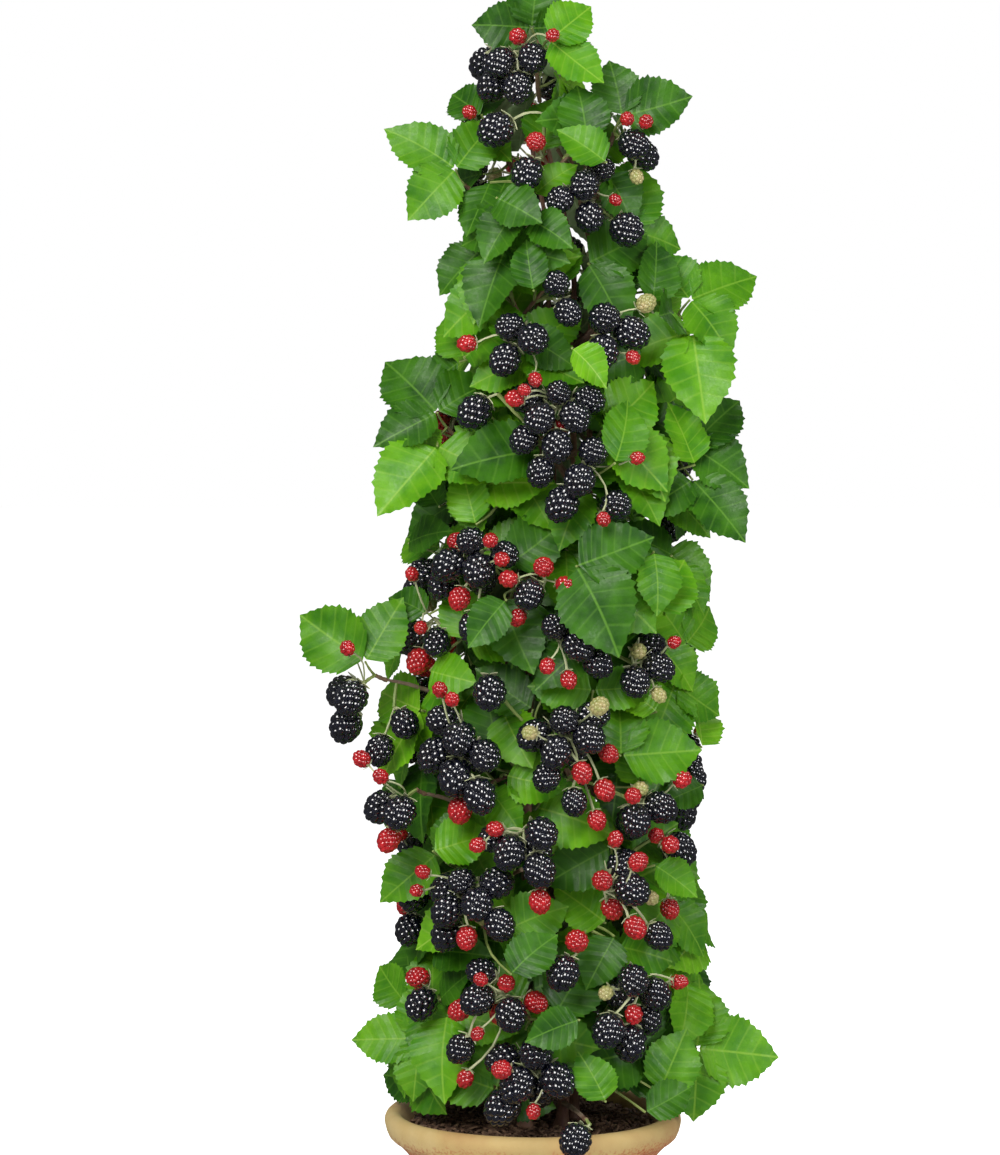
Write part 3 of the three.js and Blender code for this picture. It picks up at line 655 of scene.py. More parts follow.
def growMass(level, bearing, seed):
    low = tierLow(level)
    high = low + crown["tierHeight"]
    growth = Growth(wedge(bearing, crown["sectorHalf"], low, high), seed, bandOfTier(level))
    rootHeight = low + massShape["root"] * crown["tierHeight"]
    reaching = [cane for cane in canes if cane[2] > rootHeight + 10]
    cane = min(reaching, key=lambda one: turnTo(bearing, one[1]))
    middle = low + crown["tierHeight"] / 2
    hub = place(bearing, crownAt(1, middle) * massShape["hub"], middle)
    growth.addTwig(caneAt(cane, rootHeight), hub, *twigShape["stem"], 0, "stem")
    forks = []
    for k, turn in enumerate(massShape["forkTurns"]):
        height = middle + (massShape["forkRise"] if k % 2 else -massShape["forkRise"])
        fork = place(bearing + turn, crownAt(1, height) * massShape["fork"], height)
        growth.addTwig(hub, fork, twigShape["twig"], twigShape["twig"], 0)
        forks.append(fork)
    rooted = [0]

    def rootFor(joint):
        # twigs leave the nearest fork at places dealt out along it
        fork = min(forks, key=lambda one: np.linalg.norm(one - joint))
        rooted[0] += 1
        return hub + (fork - hub) * upFrom(massShape["alongFork"], (rooted[0] * massShape["twigStep"]) % 1)

    for toward, height, berries in trusses:
        if low <= height < high and turnTo(bearing, toward) < crown["sectorHalf"]:
            for turn, rise in massShape["trussShifts"]:
                joint = place(toward + turn, crownAt(1, height) - massShape["trussDepth"],
                              height + massShape["trussRise"] + rise)
                if growth.addTruss(rootFor(joint), joint, outward(toward + turn), berries):
                    break

    phase = [growth.draw.next(), growth.draw.next()]
    leaves = 0
    for k in range(massShape["slots"]):
        if leaves >= massShape["leaves"]:
            break
        across, rise = dealtOut(phase, (0, 0), k)
        toward = bearing + (across - 0.5) * 2 * crown["sectorHalf"] * massShape["leafWidth"]
        height = low + crown["tierHeight"] * upFrom(massShape["leafHeights"], rise)
        least, more = massShape["leafDepths"]
        joint = place(toward, crownAt(1, height) - least - more * growth.draw.next(), height)
        turn = (growth.draw.next() - 0.5) * massShape["leafTurn"]
        leaves += growth.addLeaf(rootFor(joint), joint, leafFacing(toward), turn)
    return growth, rootFor, (low, bearing, phase)


def dealtOut(phase, shift, k):
    # the k-th of many places spread evenly over a mass, from 0 to 1 across it and up it
    return [(start + aside + k * step) % 1 for start, aside, step in zip(phase, shift, massShape["steps"])]


def growHanging(shoot, growth):
    # a fruiting side shoot bears smaller trusses part of the way along, which hang below it
    points, _ = boughPoints(shoot, hangingTrusses["points"])
    toFront = np.array([0, -1.0 if turnTo(0, shoot[3]) < 100 else 1.0, 0])
    for k, berries in hangingTrusses["at"]:
        facing = unit(outward(shoot[3]) * hangingTrusses["outwards"] + toFront)
        joint = points[k] + facing * hangingTrusses["out"] - up * hangingTrusses["drop"]
        growth.addTruss(points[k], joint, facing, berries, hangingTrusses["most"])


def growFiner(growth, rootFor, low, bearing, phase):
    # smaller leaves on finer twigs, which close the column behind and between the first ones
    leaves = 0
    for k in range(finerShape["slots"]):
        if leaves >= finerShape["leaves"]:
            break
        across, rise = dealtOut(phase, finerShape["start"], k)
        deep = (k * 3 + 1) % 4
        toward = bearing + (across - 0.5) * 2 * crown["sectorHalf"] * finerShape["leafWidth"]
        height = low + crown["tierHeight"] * upFrom(finerShape["leafHeights"], rise)
        depth = finerShape["depths"][deep] * crownAt(1, height) / crown["outline"][2][1]
        distance = crownAt(1, height) - depth - finerShape["loose"] * growth.fine.next()
        joint = place(toward, distance, height)
        turn = (growth.fine.next() - 0.5) * finerShape["leafTurn"]
        share = finerShape["sizes"][deep] * upFrom(finerShape["sizeShares"], growth.fine.next())
        facing = leafFacing(toward + finerShape["aside"] * (growth.fine.next() - 0.5))
        leaves += growth.addLeaf(rootFor(joint), joint, facing, turn, share, 1.0, True)


def growYoung(growth, joint, radius, across, rise, facing, berries):
    # young fruits stand on pale stalks in the gaps of a large truss
    kept = 0
    draw = growth.fine
    for _ in range(youngFruit["tries"] if berries >= youngFruit["from"] else 0):
        angle = 2 * math.pi * draw.next()
        aside = across * math.cos(angle) + rise * math.sin(angle)
        aside = aside * between(youngFruit["aside"], draw.next())
        offset = aside + facing * between(youngFruit["out"], draw.next())
        centre = joint + offset * radius
        size = radius * between(youngFruit["size"], draw.next())
        n = grown.count
        touch = grown.distances(centre) < grown.radius[:n] + size
        blocked = (touch & ~grown.light[:n]).any() or grown.leafMeets(centre[None], np.array([size + 1]))
        for share in youngFruit["stalkTests"]:
            point = joint + offset * radius * share
            blocked |= ((grown.distances(point) < grown.radius[:n] * 0.8) & grown.solid[:n]).any()
            blocked |= grown.leafMeets(point[None], np.ones(1))
        if not blocked and kept < youngFruit["most"] and growth.holds(centre, size)[0]:
            kept += 1
            grown.addBeads(centre[None], size, 0, solid=True)
            heading = unit(offset)
            growth.addTube("pedicel", joint, centre - heading * size, *stalkShapes["young"])
            ripeness = "red" if draw.next() < youngFruit["red"] else "green"
            fruits.append((centre, heading, size, ripeness, growth.band))


trusses = []
for x, height, berries in frontTrusses:
    share = (x - crownAt(2, height)) / (crownAt(1, height) - frontInset)
    trusses.append((math.degrees(math.asin(min(0.98, max(-0.98, share)))), height, berries))
for k in range(backTrusses["count"]):
    bearing = between(backTrusses["arc"], ((k * backTrusses["turn"]) % 360) / 360)
    span = crown["tiers"] * crown["tierHeight"] - backTrusses["ends"]
    height = crown["low"] + backTrusses["start"] + span * (k + 0.5) / backTrusses["count"]
    trusses.append((bearing, height, backTrusses["berries"][k % len(backTrusses["berries"])]))


def beadsOfLimb(points, radii):
    grown.addBeads(points, radii + 1, 0, solid=True)


def caneLine(cane, count):
    # a cane's points and radii, close together at its flared foot
    foot = caneShape["soilTop"] + twigShape["clearance"]
    reach = cane[2] - foot
    shares = np.concatenate([np.linspace(0, caneShape["flareHeight"] / reach, 5)[:-1],
                             np.linspace(caneShape["flareHeight"] / reach, 1, count)])
    points = np.array([caneAt(cane, foot + reach * t) for t in shares])
    flare = caneShape["flare"] * np.maximum(0, 1 - shares * reach / caneShape["flareHeight"])
    thinned = shares ** caneShape["thinning"]
    radii = caneShape["foot"] + (caneShape["tip"] - caneShape["foot"]) * thinned + flare
    return points, radii


def boughPoints(shoot, count):
    foot, bow, end = boughLine(shoot)
    t = np.linspace(0, 1, count)[:, None]
    points = foot * (1 - t) ** 2 + bow * 2 * t * (1 - t) + end * t ** 2
    return points, boughShape["foot"] + (boughShape["tip"] - boughShape["foot"]) * t[:, 0]


for cane in canes:
    beadsOfLimb(*caneLine(cane, 200))
for shoot in shoots:
    beadsOfLimb(*boughPoints(shoot, 30))

seed = 1
grownShoots = [(shoot, growShoot(shoot, seed + k)) for k, shoot in enumerate(shoots)]
seed += len(shoots)
growTip(seed)
seed += 1
masses = []
for level in range(crown["tiers"]):
    for sector in range(3):
        masses.append(growMass(level, sector * 120 + (level % 2) * 60, seed))
        seed += 1
print("grown by the rule:", len(blades), "leaflets,", len(fruits), "berries")
for shoot, growth in grownShoots:
    if shoot[5] > 2:
        growHanging(shoot, growth)
for growth, rootFor, room in masses:
    growFiner(growth, rootFor, *room)
for cluster in clusters:
    growYoung(*cluster)
print("with finer twigs:", len(blades), "leaflets,", len(fruits), "berries,", len(tubes), "twigs and stalks")


# Materials

class Nodes:
    # the nodes of a material or of the sky, with a short call for each kind that is used here
    def __init__(self, owner, shader="Principled BSDF"):
        owner.use_nodes = True
        self.tree = owner.node_tree
        self.shader = self.tree.nodes[shader]

    def new(self, kind):
        return self.tree.nodes.new("ShaderNode" + kind)

    def feed(self, node, socket, value):
        # a socket takes a number, a colour, or what another node gives
        if isinstance(value, (int, float)):
            node.inputs[socket].default_value = value
        elif isinstance(value, tuple):
            node.inputs[socket].default_value = (*value, 1)
        else:
            self.tree.links.new(value, node.inputs[socket])

    def feedAll(self, node, values):
        for socket, value in values.items():
            self.feed(node, socket, value)

    def give(self, socket, value):
        self.feed(self.shader, socket, value)

    def place(self):
        return self.new("TexCoord").outputs["Object"]

    def split(self, vector):
        parts = self.new("SeparateXYZ")
        self.feed(parts, "Vector", vector)
        return parts.outputs

    def noise(self, scale, detail=4, vector=None, rough=0.5):
        noise = self.new("TexNoise")
        self.feedAll(noise, {"Scale": scale, "Detail": detail, "Roughness": rough})
        self.feed(noise, "Vector", self.place() if vector is None else vector)
        return noise.outputs["Fac"]

    def ramp(self, value, stops):
        ramp = self.new("ValToRGB")
        while len(ramp.color_ramp.elements) < len(stops):
            ramp.color_ramp.elements.new(0.5)
        for element, (position, colour) in zip(ramp.color_ramp.elements, stops):
            element.position = position
            element.color = (*colour, 1)
        self.feed(ramp, "Fac", value)
        return ramp.outputs["Color"]

    def spread(self, value, low, high, toLow, toHigh):
        # one range of values drawn out over another
        spread = self.new("MapRange")
        self.feedAll(spread, {"Value": value, "From Min": low, "From Max": high, "To Min": toLow,
                              "To Max": toHigh})
        return spread.outputs["Result"]

    def work(self, operation, a, b=0.5):
        sums = self.new("Math")
        sums.operation = operation
        self.feedAll(sums, {0: a, 1: b})
        return sums.outputs["Value"]

    def mix(self, share, a, b):
        mix = self.new("Mix")
        mix.data_type = "RGBA"
        # this node's sockets 6 and 7 are its two colours
        self.feedAll(mix, {0: share, 6: a, 7: b})
        return mix.outputs[2]

    def bump(self, height, strength, distance):
        bump = self.new("Bump")
        self.feedAll(bump, {"Strength": strength, "Distance": distance, "Height": height})
        self.give("Normal", bump.outputs["Normal"])


def newMaterial(name, colour, roughness, **sockets):
    # a material of one colour and finish, ready for its own nodes
    material = bpy.data.materials.new(name)
    look = Nodes(material)
    look.feedAll(look.shader, {"Base Color": colour, "Roughness": roughness})
    for socket, value in sockets.items():
        look.give(socket.replace("_", " "), value)
    return material, look


# patches and wrinkles as noise scales, and where the midrib and the side veins fade, in the leaf's own map
leafFinish = {"patches": 46, "grain": 420, "wrinkles": 130, "veinPairs": 6.5, "midrib": (0.005, 0.018),
              "sideVein": (0.02, 0.1), "paleness": (0.8, 0.32), "relief": 0.0016}


def leafMaterial(name, deep, bright, vein, roughness=0.42):
    # the blade's green, mottled, with a pale midrib and side veins that follow its own map
    material, look = newMaterial(name, bright, roughness, Specular_IOR_Level=0.34)
    colour = look.ramp(look.noise(leafFinish["patches"], 4), [(0.34, deep), (0.64, bright)])
    leafMap = look.new("UVMap")
    leafMap.uv_map = "leafMap"
    parts = look.split(leafMap.outputs["UV"])
    across = look.work("ABSOLUTE", look.work("SUBTRACT", parts["X"], 0.5))
    midrib = look.spread(across, *leafFinish["midrib"], leafFinish["paleness"][0], 0)
    turns = look.work("PINGPONG", look.work("MULTIPLY", parts["Y"], leafFinish["veinPairs"]), 0.5)
    sideVein = look.spread(turns, *leafFinish["sideVein"], leafFinish["paleness"][1], 0)
    look.give("Base Color", look.mix(look.work("MAXIMUM", midrib, sideVein), colour, vein))
    grain = look.noise(leafFinish["grain"], 2)
    look.give("Roughness", look.spread(grain, 0.3, 0.7, roughness - 0.08, roughness + 0.12))
    # the blade is puckered between its side veins
    wrinkles = look.work("MULTIPLY", look.noise(leafFinish["wrinkles"], 3), 0.6)
    look.bump(look.work("ADD", wrinkles, turns), 0.4, leafFinish["relief"])
    return material


leafBright = leafMaterial("leafBright", (0.055, 0.235, 0.002), (0.125, 0.36, 0.004), (0.22, 0.44, 0.03))
leafMid = leafMaterial("leafMid", (0.036, 0.17, 0.002), (0.09, 0.285, 0.003), (0.17, 0.37, 0.025))
# the darkest green is painted shade for leaves in the shade inside the crown; some outer leaves also take it
# at random
leafPaintedShade = leafMaterial("leafPaintedShade", (0.014, 0.08, 0.0015), (0.042, 0.165, 0.003), (0.1, 0.26, 0.02))
leafYoung = leafMaterial("leafYoung", (0.09, 0.31, 0.003), (0.17, 0.44, 0.007), (0.3, 0.52, 0.06))
leafUnder = leafMaterial("leafUnder", (0.2, 0.32, 0.13), (0.3, 0.42, 0.2), (0.44, 0.54, 0.3), 0.6)
leafTints = [leafMid, leafBright, leafPaintedShade, leafYoung]


def fruitMaterial(name, low, high, roughness, coat):
    # dark or bright juice under a clear, wet-looking skin
    material, look = newMaterial(name, high, roughness, Coat_Weight=coat, Coat_Roughness=0.1, Coat_IOR=2.1,
                                 Specular_IOR_Level=0.3)
    look.give("Base Color", look.ramp(look.noise(160, 2), [(0.3, low), (0.7, high)]))
    return material


berryRipe = fruitMaterial("berryRipe", (0.0015, 0.0016, 0.005), (0.004, 0.005, 0.016), 0.3, 1)
berryRed = fruitMaterial("berryRed", (0.3, 0.004, 0.008), (0.56, 0.014, 0.02), 0.3, 0.7)
berryGreen = fruitMaterial("berryGreen", (0.30, 0.34, 0.10), (0.52, 0.42, 0.2), 0.35, 0.3)
fruitMaterials = {"ripe": berryRipe, "red": berryRed, "green": berryGreen}


stemGrain = {"scale": 55, "finer": 9, "stretch": (1, 1, 0.16), "relief": 0.0004}


def stemMaterial(name, low, high, roughness):
    # bark or green skin, streaked lengthways
    material, look = newMaterial(name, high, roughness)
    mapping = look.new("Mapping")
    look.feed(mapping, "Vector", look.place())
    mapping.inputs["Scale"].default_value = stemGrain["stretch"]
    lengthways = mapping.outputs["Vector"]
    streaks = look.noise(stemGrain["scale"], 6, lengthways, 0.62)
    look.give("Base Color", look.ramp(streaks, [(0.32, low), (0.64, high)]))
    look.bump(look.noise(stemGrain["scale"] * stemGrain["finer"], 4, lengthways), 0.6, stemGrain["relief"])
    return material


caneBark = stemMaterial("caneBark", (0.10, 0.035, 0.03), (0.36, 0.2, 0.12), 0.6)
boughBark = stemMaterial("boughBark", (0.16, 0.1, 0.07), (0.36, 0.27, 0.19), 0.65)
twigBark = stemMaterial("twigBark", (0.12, 0.045, 0.04), (0.25, 0.17, 0.09), 0.55)
stalkGreen = stemMaterial("stalkGreen", (0.16, 0.24, 0.05), (0.34, 0.42, 0.13), 0.5)
stalkPale = stemMaterial("stalkPale", (0.36, 0.42, 0.2), (0.6, 0.62, 0.38), 0.5)


# Pieces made of many small shapes

class Batch:
    # points in millimetres and faces of many shapes, gathered before they become one
    def __init__(self):
        self.points, self.faces, self.slots, self.maps = [], [], [], []
        self.count = 0

    def add(self, points, faces, slots=(), maps=None):
        self.faces += [tuple(i + self.count for i in face) for face in faces]
        self.points.append(points)
        self.count += len(points)
        self.slots += slots
        if maps is not None:
            self.maps.append(maps)

    def shape(self):
        return np.concatenate(self.points), self.faces

    def piece(self, name, materials, sharp=70):
        # one mesh with its faces' materials and its own map, smooth but for its sharp edges
        mesh = bpy.data.meshes.new(name)
        mesh.from_pydata((np.concatenate(self.points) * mm).tolist(), [], self.faces)
        for material in materials:
            mesh.materials.append(material)
        if self.slots:
            mesh.polygons.foreach_set("material_index", np.array(self.slots, dtype=np.int32))
        if self.maps:
            layer = mesh.uv_layers.new(name="leafMap")
            corners = np.zeros(len(mesh.loops), dtype=np.int32)
            mesh.loops.foreach_get("vertex_index", corners)
            layer.data.foreach_set("uv", np.concatenate(self.maps)[corners].astype(np.float32).ravel())
        mesh.shade_smooth()
        mesh.set_sharp_from_angle(angle=math.radians(sharp))
        mesh.update()
        piece = bpy.data.objects.new(name, mesh)
        bpy.context.scene.collection.objects.link(piece)
        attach(piece, "root")
        print(name, "has", sum(len(face) - 2 for face in self.faces), "triangles")
        return piece


leafCut = {
    "rows": 13,
    "stalk": 0.03,
    "slant": 0.17,
    "shoulder": 0.38,
    "widest": 0.42,
    # how the edge curves out to its widest place, and on to the tip
    "baseCurve": (0.7, 0.9),
    "tipCurve": (2.2, 1.3),
    # the teeth's size, large and small by turns, and how far they point forwards
    "tooth": 0.036,
    "toothSizes": (0.6, 1.2),
    "toothAhead": 0.72,
    # the puckers between the veins, and how far out they lie
    "quilt": 0.015,
    "quiltAt": 0.52,
    "sheet": 0.007,
}


def halfAt(x):
    # the blade's half width at a place along it
    if x < leafCut["widest"]:
        early, late = leafCut["baseCurve"]
        return leafCut["shoulder"] * math.sin(math.pi / 2 * (x / leafCut["widest"]) ** early) ** late
    early, late = leafCut["tipCurve"]
    past = (x - leafCut["widest"]) / (1 - leafCut["widest"])
    return leafCut["shoulder"] * max(0, 1 - past ** early) ** late


def leafOutline():
    # a broad egg-shaped blade with a drawn-out tip: its rows slant with the veins and end in a tooth each
    rows = leafCut["rows"]
    points, maps, faces = [], [], []

    def add(x, y, lift, row):
        points.append((x, y, lift))
        maps.append((0.5 + y, row / rows))
        return len(points) - 1

    start = leafCut["stalk"]
    midrib = []
    for row in range(rows + 1):
        share = row / rows
        along = share - leafCut["slant"] * math.sin(math.pi * share)
        midrib.append(add(start + (1 - start) * along, 0, -0.004, row))
    inside = midrib[1:-1]
    for sign in (1, -1):
        inner, edge, tooth = [], [], []
        for row in range(1, rows):
            reach = start + (1 - start) * row / rows
            half = halfAt(reach)
            raised = leafCut["quilt"] if row % 2 else -leafCut["quilt"] * 0.4
            middle = (points[midrib[row]][0] + reach) / 2
            inner.append(add(middle, sign * half * leafCut["quiltAt"], raised, row))
            edge.append(add(reach, sign * half, 0.3 * raised, row))
            ahead = reach + leafCut["toothAhead"] * (1 - start) / rows
            size = leafCut["tooth"] * leafCut["toothSizes"][row % 2] * min(1, 4 * (1 - reach))
            tooth.append(add(ahead, sign * (halfAt(ahead) + size), -0.002, row + 0.5))
        half = [(midrib[0], midrib[1], inner[0]), (midrib[0], inner[0], edge[0])]
        for k in range(rows - 2):
            half += [(midrib[k + 1], midrib[k + 2], inner[k + 1], inner[k]),
                     (inner[k], inner[k + 1], tooth[k]),
                     (inner[k], tooth[k], edge[k]),
                     (inner[k + 1], edge[k + 1], tooth[k])]
        half += [(midrib[rows - 1], midrib[rows], inner[-1]), (inner[-1], midrib[rows], tooth[-1]),
                 (inner[-1], tooth[-1], edge[-1])]
        faces += half if sign > 0 else [(face[0], *reversed(face[1:])) for face in half]
        inside += inner
    # the underside has the same faces and the same edge, and lies a sheet's thickness below
    below = {i: add(*points[i][:2], points[i][2] - leafCut["sheet"], maps[i][1] * rows) for i in inside}
    under = [tuple(below.get(i, i) for i in (face[0], *reversed(face[1:]))) for face in faces]
    return np.array(points), faces + under, [0] * len(faces) + [1] * len(under), np.array(maps)


leafPoints, leafFaces, leafSlots, leafMaps = leafOutline()


# how one leaflet differs from the next: the least, and how much more, of its width, fold and droop
leafVariety = {"width": (0.84, 0.24), "fold": (0.7, 1.5), "foldCurve": 1.2, "droop": (0.5, 1.5),
               "droopFrom": 0.3, "droopCurve": 1.7, "wave": 0.04, "waves": 11, "curl": 0.24}


def leafletMesh(one, draw):
    # the outline drawn to this leaflet's own width, and bent to its own fold, droop and twist
    x, y, lift = leafPoints.T
    y = y * upFrom(leafVariety["width"], draw.next())
    across = np.abs(y) / leafShape["halfWidth"]
    past = np.maximum(0, (x - leafVariety["droopFrom"]) / (1 - leafVariety["droopFrom"]))
    fold = leafShape["fold"] * upFrom(leafVariety["fold"], draw.next()) * across ** leafVariety["foldCurve"]
    droop = leafShape["droop"] * upFrom(leafVariety["droop"], draw.next()) * past ** leafVariety["droopCurve"]
    ripple = np.sin(x * leafVariety["waves"] + 6 * draw.next())
    wave = leafVariety["wave"] * ripple * np.sign(y) * across ** 2
    curl = (draw.next() - 0.5) * leafVariety["curl"] * x * x
    z = lift + fold - droop + wave
    local = np.outer(x, one.along) + np.outer(y + curl, one.side) + np.outer(z, one.normal)
    return one.base + local * one.length


def crownNodes(band):
    # the solids that a band of the crown stands for
    names = []
    for level in range(crown["tiers"]):
        if bandOfTier(level) == band:
            names += [f"foliage_tier{level + 1}_{side}" for side in crown["sides"][level % 2::2]]
    names += [f"foliage_shoot_{shoot[0]}" for shoot in shoots if bandOf(shoot[4][1]) == band]
    return names + (["foliage_tip"] if bandOf(tip["low"]) == band else [])


bandNames = ["low", "middle", "high", "top"]
leafDraw = Draw(77)
for band, bandName in enumerate(bandNames):
    batch = Batch()
    for one, tint, where in blades:
        if where == band:
            slots = [tint if slot == 0 else len(leafTints) for slot in leafSlots]
            batch.add(leafletMesh(one, leafDraw), leafFaces, slots, leafMaps)
    leaves = batch.piece(f"leaves_{bandName}", leafTints + [leafUnder])
    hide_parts(*crownNodes(band))


def ringOf(turns, across, rise):
    return np.outer(np.cos(turns), across) + np.outer(np.sin(turns), rise)


def bandFaces(rings, sides):
    # the faces between the rings of a tube
    faces = []
    for low in range(0, (rings - 1) * sides, sides):
        for i in range(sides):
            j = (i + 1) % sides
            faces.append((low + i, low + j, low + sides + j, low + sides + i))
    return faces


def tubeFaces(rings, sides):
    # a tube that is closed at both ends
    last = (rings - 1) * sides
    return bandFaces(rings, sides) + [tuple(reversed(range(sides))), tuple(range(last, last + sides))]


def tubeMesh(points, radii, sides):
    # a round tube along a line of points
    headings = np.gradient(points, axis=0)
    headings /= np.linalg.norm(headings, axis=1)[:, None]
    across, _ = squareTo(headings[0], besides(headings[0]))
    turns = 2 * math.pi * np.arange(sides) / sides
    rings = []
    for point, heading, radius in zip(points, headings, radii):
        across = unit(across - heading * across.dot(heading))
        rings.append(point + radius * ringOf(turns, across, np.cross(heading, across)))
    return np.concatenate(rings), tubeFaces(len(rings), sides)


# every second ring of a twig is thicker by this share
ringSwell = 0.25
# material, and each kind of tube with its number of sides
tubePieces = {
    "twigs": (twigBark, {"stem": 7, "twig": 6}),
    "stalks": (stalkGreen, {"truss": 5, "stalk": 5}),
    "pedicels": (stalkPale, {"pedicel": 5}),
}
for pieceName, (material, sides) in tubePieces.items():
    batch = Batch()
    for kind, points, radii in tubes:
        if kind in sides:
            swell = 1 + ringSwell * (np.arange(len(points)) % 2)
            batch.add(*tubeMesh(points, radii * swell, sides[kind]))
    batch.piece(pieceName, [material], 50)


goldenTurn = 137.508
# the widest of a random turn, in radians
anyTurn = 6.28

# how a berry's small round domes cover it, their rings, sizes and depth, and the plain core between them
drupelets = {"cover": 2.32, "sides": 6, "rings": (0.0, 0.52, 0.86), "sizes": (0.88, 0.24), "sunk": 0.74,
             "core": 0.8, "coreRings": (-0.8, -0.45, 0, 0.45, 0.8), "taper": 0.07}
# how many of them the three kinds of berry have, and a young fruit
drupeletCounts = (56, 51, 46)
youngCount = 26
spreading = {"rounds": 60, "push": 0.0015, "selfGap": 9}


def spreadOut(count):
    # directions spread evenly about a point: those of a spiral, pushed apart by their neighbours
    height = 1 - 2 * (np.arange(count) + 0.5) / count
    flat = np.sqrt(1 - height ** 2)
    turns = np.arange(count) * math.radians(goldenTurn)
    points = np.stack([flat * np.cos(turns), flat * np.sin(turns), height], axis=1)
    for _ in range(spreading["rounds"]):
        gaps = points[:, None] - points[None]
        # a point's gap to itself is set, so that nothing is divided by zero
        apart = np.linalg.norm(gaps, axis=2) + spreading["selfGap"] * np.eye(count)
        points += spreading["push"] * (gaps / apart[..., None] ** 4).sum(axis=1)
        points /= np.linalg.norm(points, axis=1)[:, None]
    return points


def berryMesh(count, draw):
    # a ball of small round domes over a plain core, a little narrower at its tip, with its stalk end at +z
    sides = drupelets["sides"]
    turns = 2 * math.pi * np.arange(sides) / sides
    reach = drupelets["cover"] / math.sqrt(count)
    rings = len(drupelets["rings"])
    last = (rings - 1) * sides
    domeFaces = bandFaces(rings, sides)
    domeFaces += [(last + i, last + (i + 1) % sides, last + sides) for i in range(sides)]
    domeFaces.append(tuple(reversed(range(sides))))
    batch = Batch()
    for normal in spreadOut(count):
        size = reach * upFrom(drupelets["sizes"], draw.next())
        centre = normal * (1 - size * drupelets["sunk"])
        flat = ringOf(turns, *squareTo(normal, besides(normal)))
        dome = [centre + normal * size * share + size * math.sqrt(1 - share * share) * flat
                for share in drupelets["rings"]]
        batch.add(np.concatenate([*dome, (centre + normal * size)[None]]), domeFaces)
    core = []
    for height in drupelets["coreRings"]:
        wide = math.sqrt(1 - height * height)
        core.append(np.stack([wide * np.cos(turns), wide * np.sin(turns), np.full(sides, height)], axis=1))
    batch.add(drupelets["core"] * np.concatenate(core), tubeFaces(len(core), sides))
    points, faces = batch.shape()
    points /= 1 + reach * (1 - drupelets["sunk"])
    points[:, :2] *= 1 + drupelets["taper"] * points[:, 2:]
    points[:, 2] *= berryShape["stretch"]
    return points, faces


berryDraw = Draw(91)
berryKinds = [berryMesh(count, berryDraw) for count in drupeletCounts]
youngKind = berryMesh(youngCount, berryDraw)


def standing(points, centre, heading, size, roll):
    # a small shape set at its place: its +z against the heading, turned about it by a roll
    across, rise = squareTo(-heading, besides(heading))
    turned = across * math.cos(roll) + rise * math.sin(roll)
    other = np.cross(-heading, turned)
    return centre + size * (np.outer(points[:, 0], turned) + np.outer(points[:, 1], other)
                            - np.outer(points[:, 2], heading))


for band, bandName in enumerate(bandNames):
    for ripeness in ("ripe", "red", "green"):
        batch = Batch()
        for k, (centre, heading, size, kind, where) in enumerate(fruits):
            if kind == ripeness and where == band:
                points, faces = youngKind if size < youngFruit["under"] else berryKinds[k % len(berryKinds)]
                batch.add(standing(points, centre, heading, size, anyTurn * berryDraw.next()), faces)
        if batch.count:
            berries = batch.piece(f"berries_{ripeness}_{bandName}", [fruitMaterials[ripeness]], 85)


sepal = {
    "count": 5,
    # distance from the middle, half width and height, then the tip's distance and height, in berry radii
    "rows": [(0.02, 0.1, 1.12), (0.34, 0.17, 1.16), (0.62, 0.09, 1.06)],
    "tip": (0.82, 0.98),
    "thickness": 0.05,
    # how much wider a younger berry's sepals look beside it
    "wider": {"ripe": 1, "red": 1.05, "green": 1.35},
}


def calyxMesh():
    # pointed sepals spread flat under the berry's stalk
    rim = [0, 2, 4, 6, 5, 3, 1]
    below = len(rim)
    top = [(0, 1, 3, 2), (2, 3, 5, 4), (4, 5, 6)]
    faces = top + [tuple(below + i for i in reversed(face)) for face in top]
    faces += [(a, b, below + b, below + a) for a, b in zip(rim, rim[1:] + rim[:1])]
    batch = Batch()
    for k in range(sepal["count"]):
        angle = 2 * math.pi * k / sepal["count"]
        out = np.array([math.cos(angle), math.sin(angle), 0])
        side = np.array([-math.sin(angle), math.cos(angle), 0])
        points = []
        for reach, half, height in sepal["rows"]:
            points += [out * reach + side * half + up * height, out * reach - side * half + up * height]
        points.append(out * sepal["tip"][0] + up * sepal["tip"][1])
        points += [point - up * sepal["thickness"] for point in points]
        batch.add(np.array(points), faces)
    return batch.shape()


calyxPoints, calyxFaces = calyxMesh()
batch = Batch()
for centre, heading, size, kind, _ in fruits:
    wider = np.array([sepal["wider"][kind], sepal["wider"][kind], 1])
    roll = anyTurn * berryDraw.next()
    batch.add(standing(calyxPoints * wider, centre, heading, size, roll), calyxFaces)
batch.piece("sepals", [stalkPale], 40)


# Canes and boughs, drawn out ring by ring

def deselectAll():
    if bpy.context.object and bpy.context.object.mode != "OBJECT":
        bpy.ops.object.mode_set(mode="OBJECT")
    bpy.ops.object.select_all(action="DESELECT")


def startDisc(sides, radius, at, turned=(0, 0, 0)):
    # a filled disc in edit mode, ready to be drawn out
    deselectAll()
    bpy.ops.mesh.primitive_circle_add(vertices=sides, radius=radius, fill_type="NGON", location=at,
                                      rotation=turned)
    bpy.ops.object.mode_set(mode="EDIT")
    bpy.ops.mesh.select_all(action="SELECT")


def drawOut(move, share, centre):
    # the face in hand goes on to its next place and takes its next size
    bpy.ops.mesh.extrude_region_move(TRANSFORM_OT_translate={"value": tuple(move)})
    bpy.ops.transform.resize(value=share, center_override=tuple(centre))


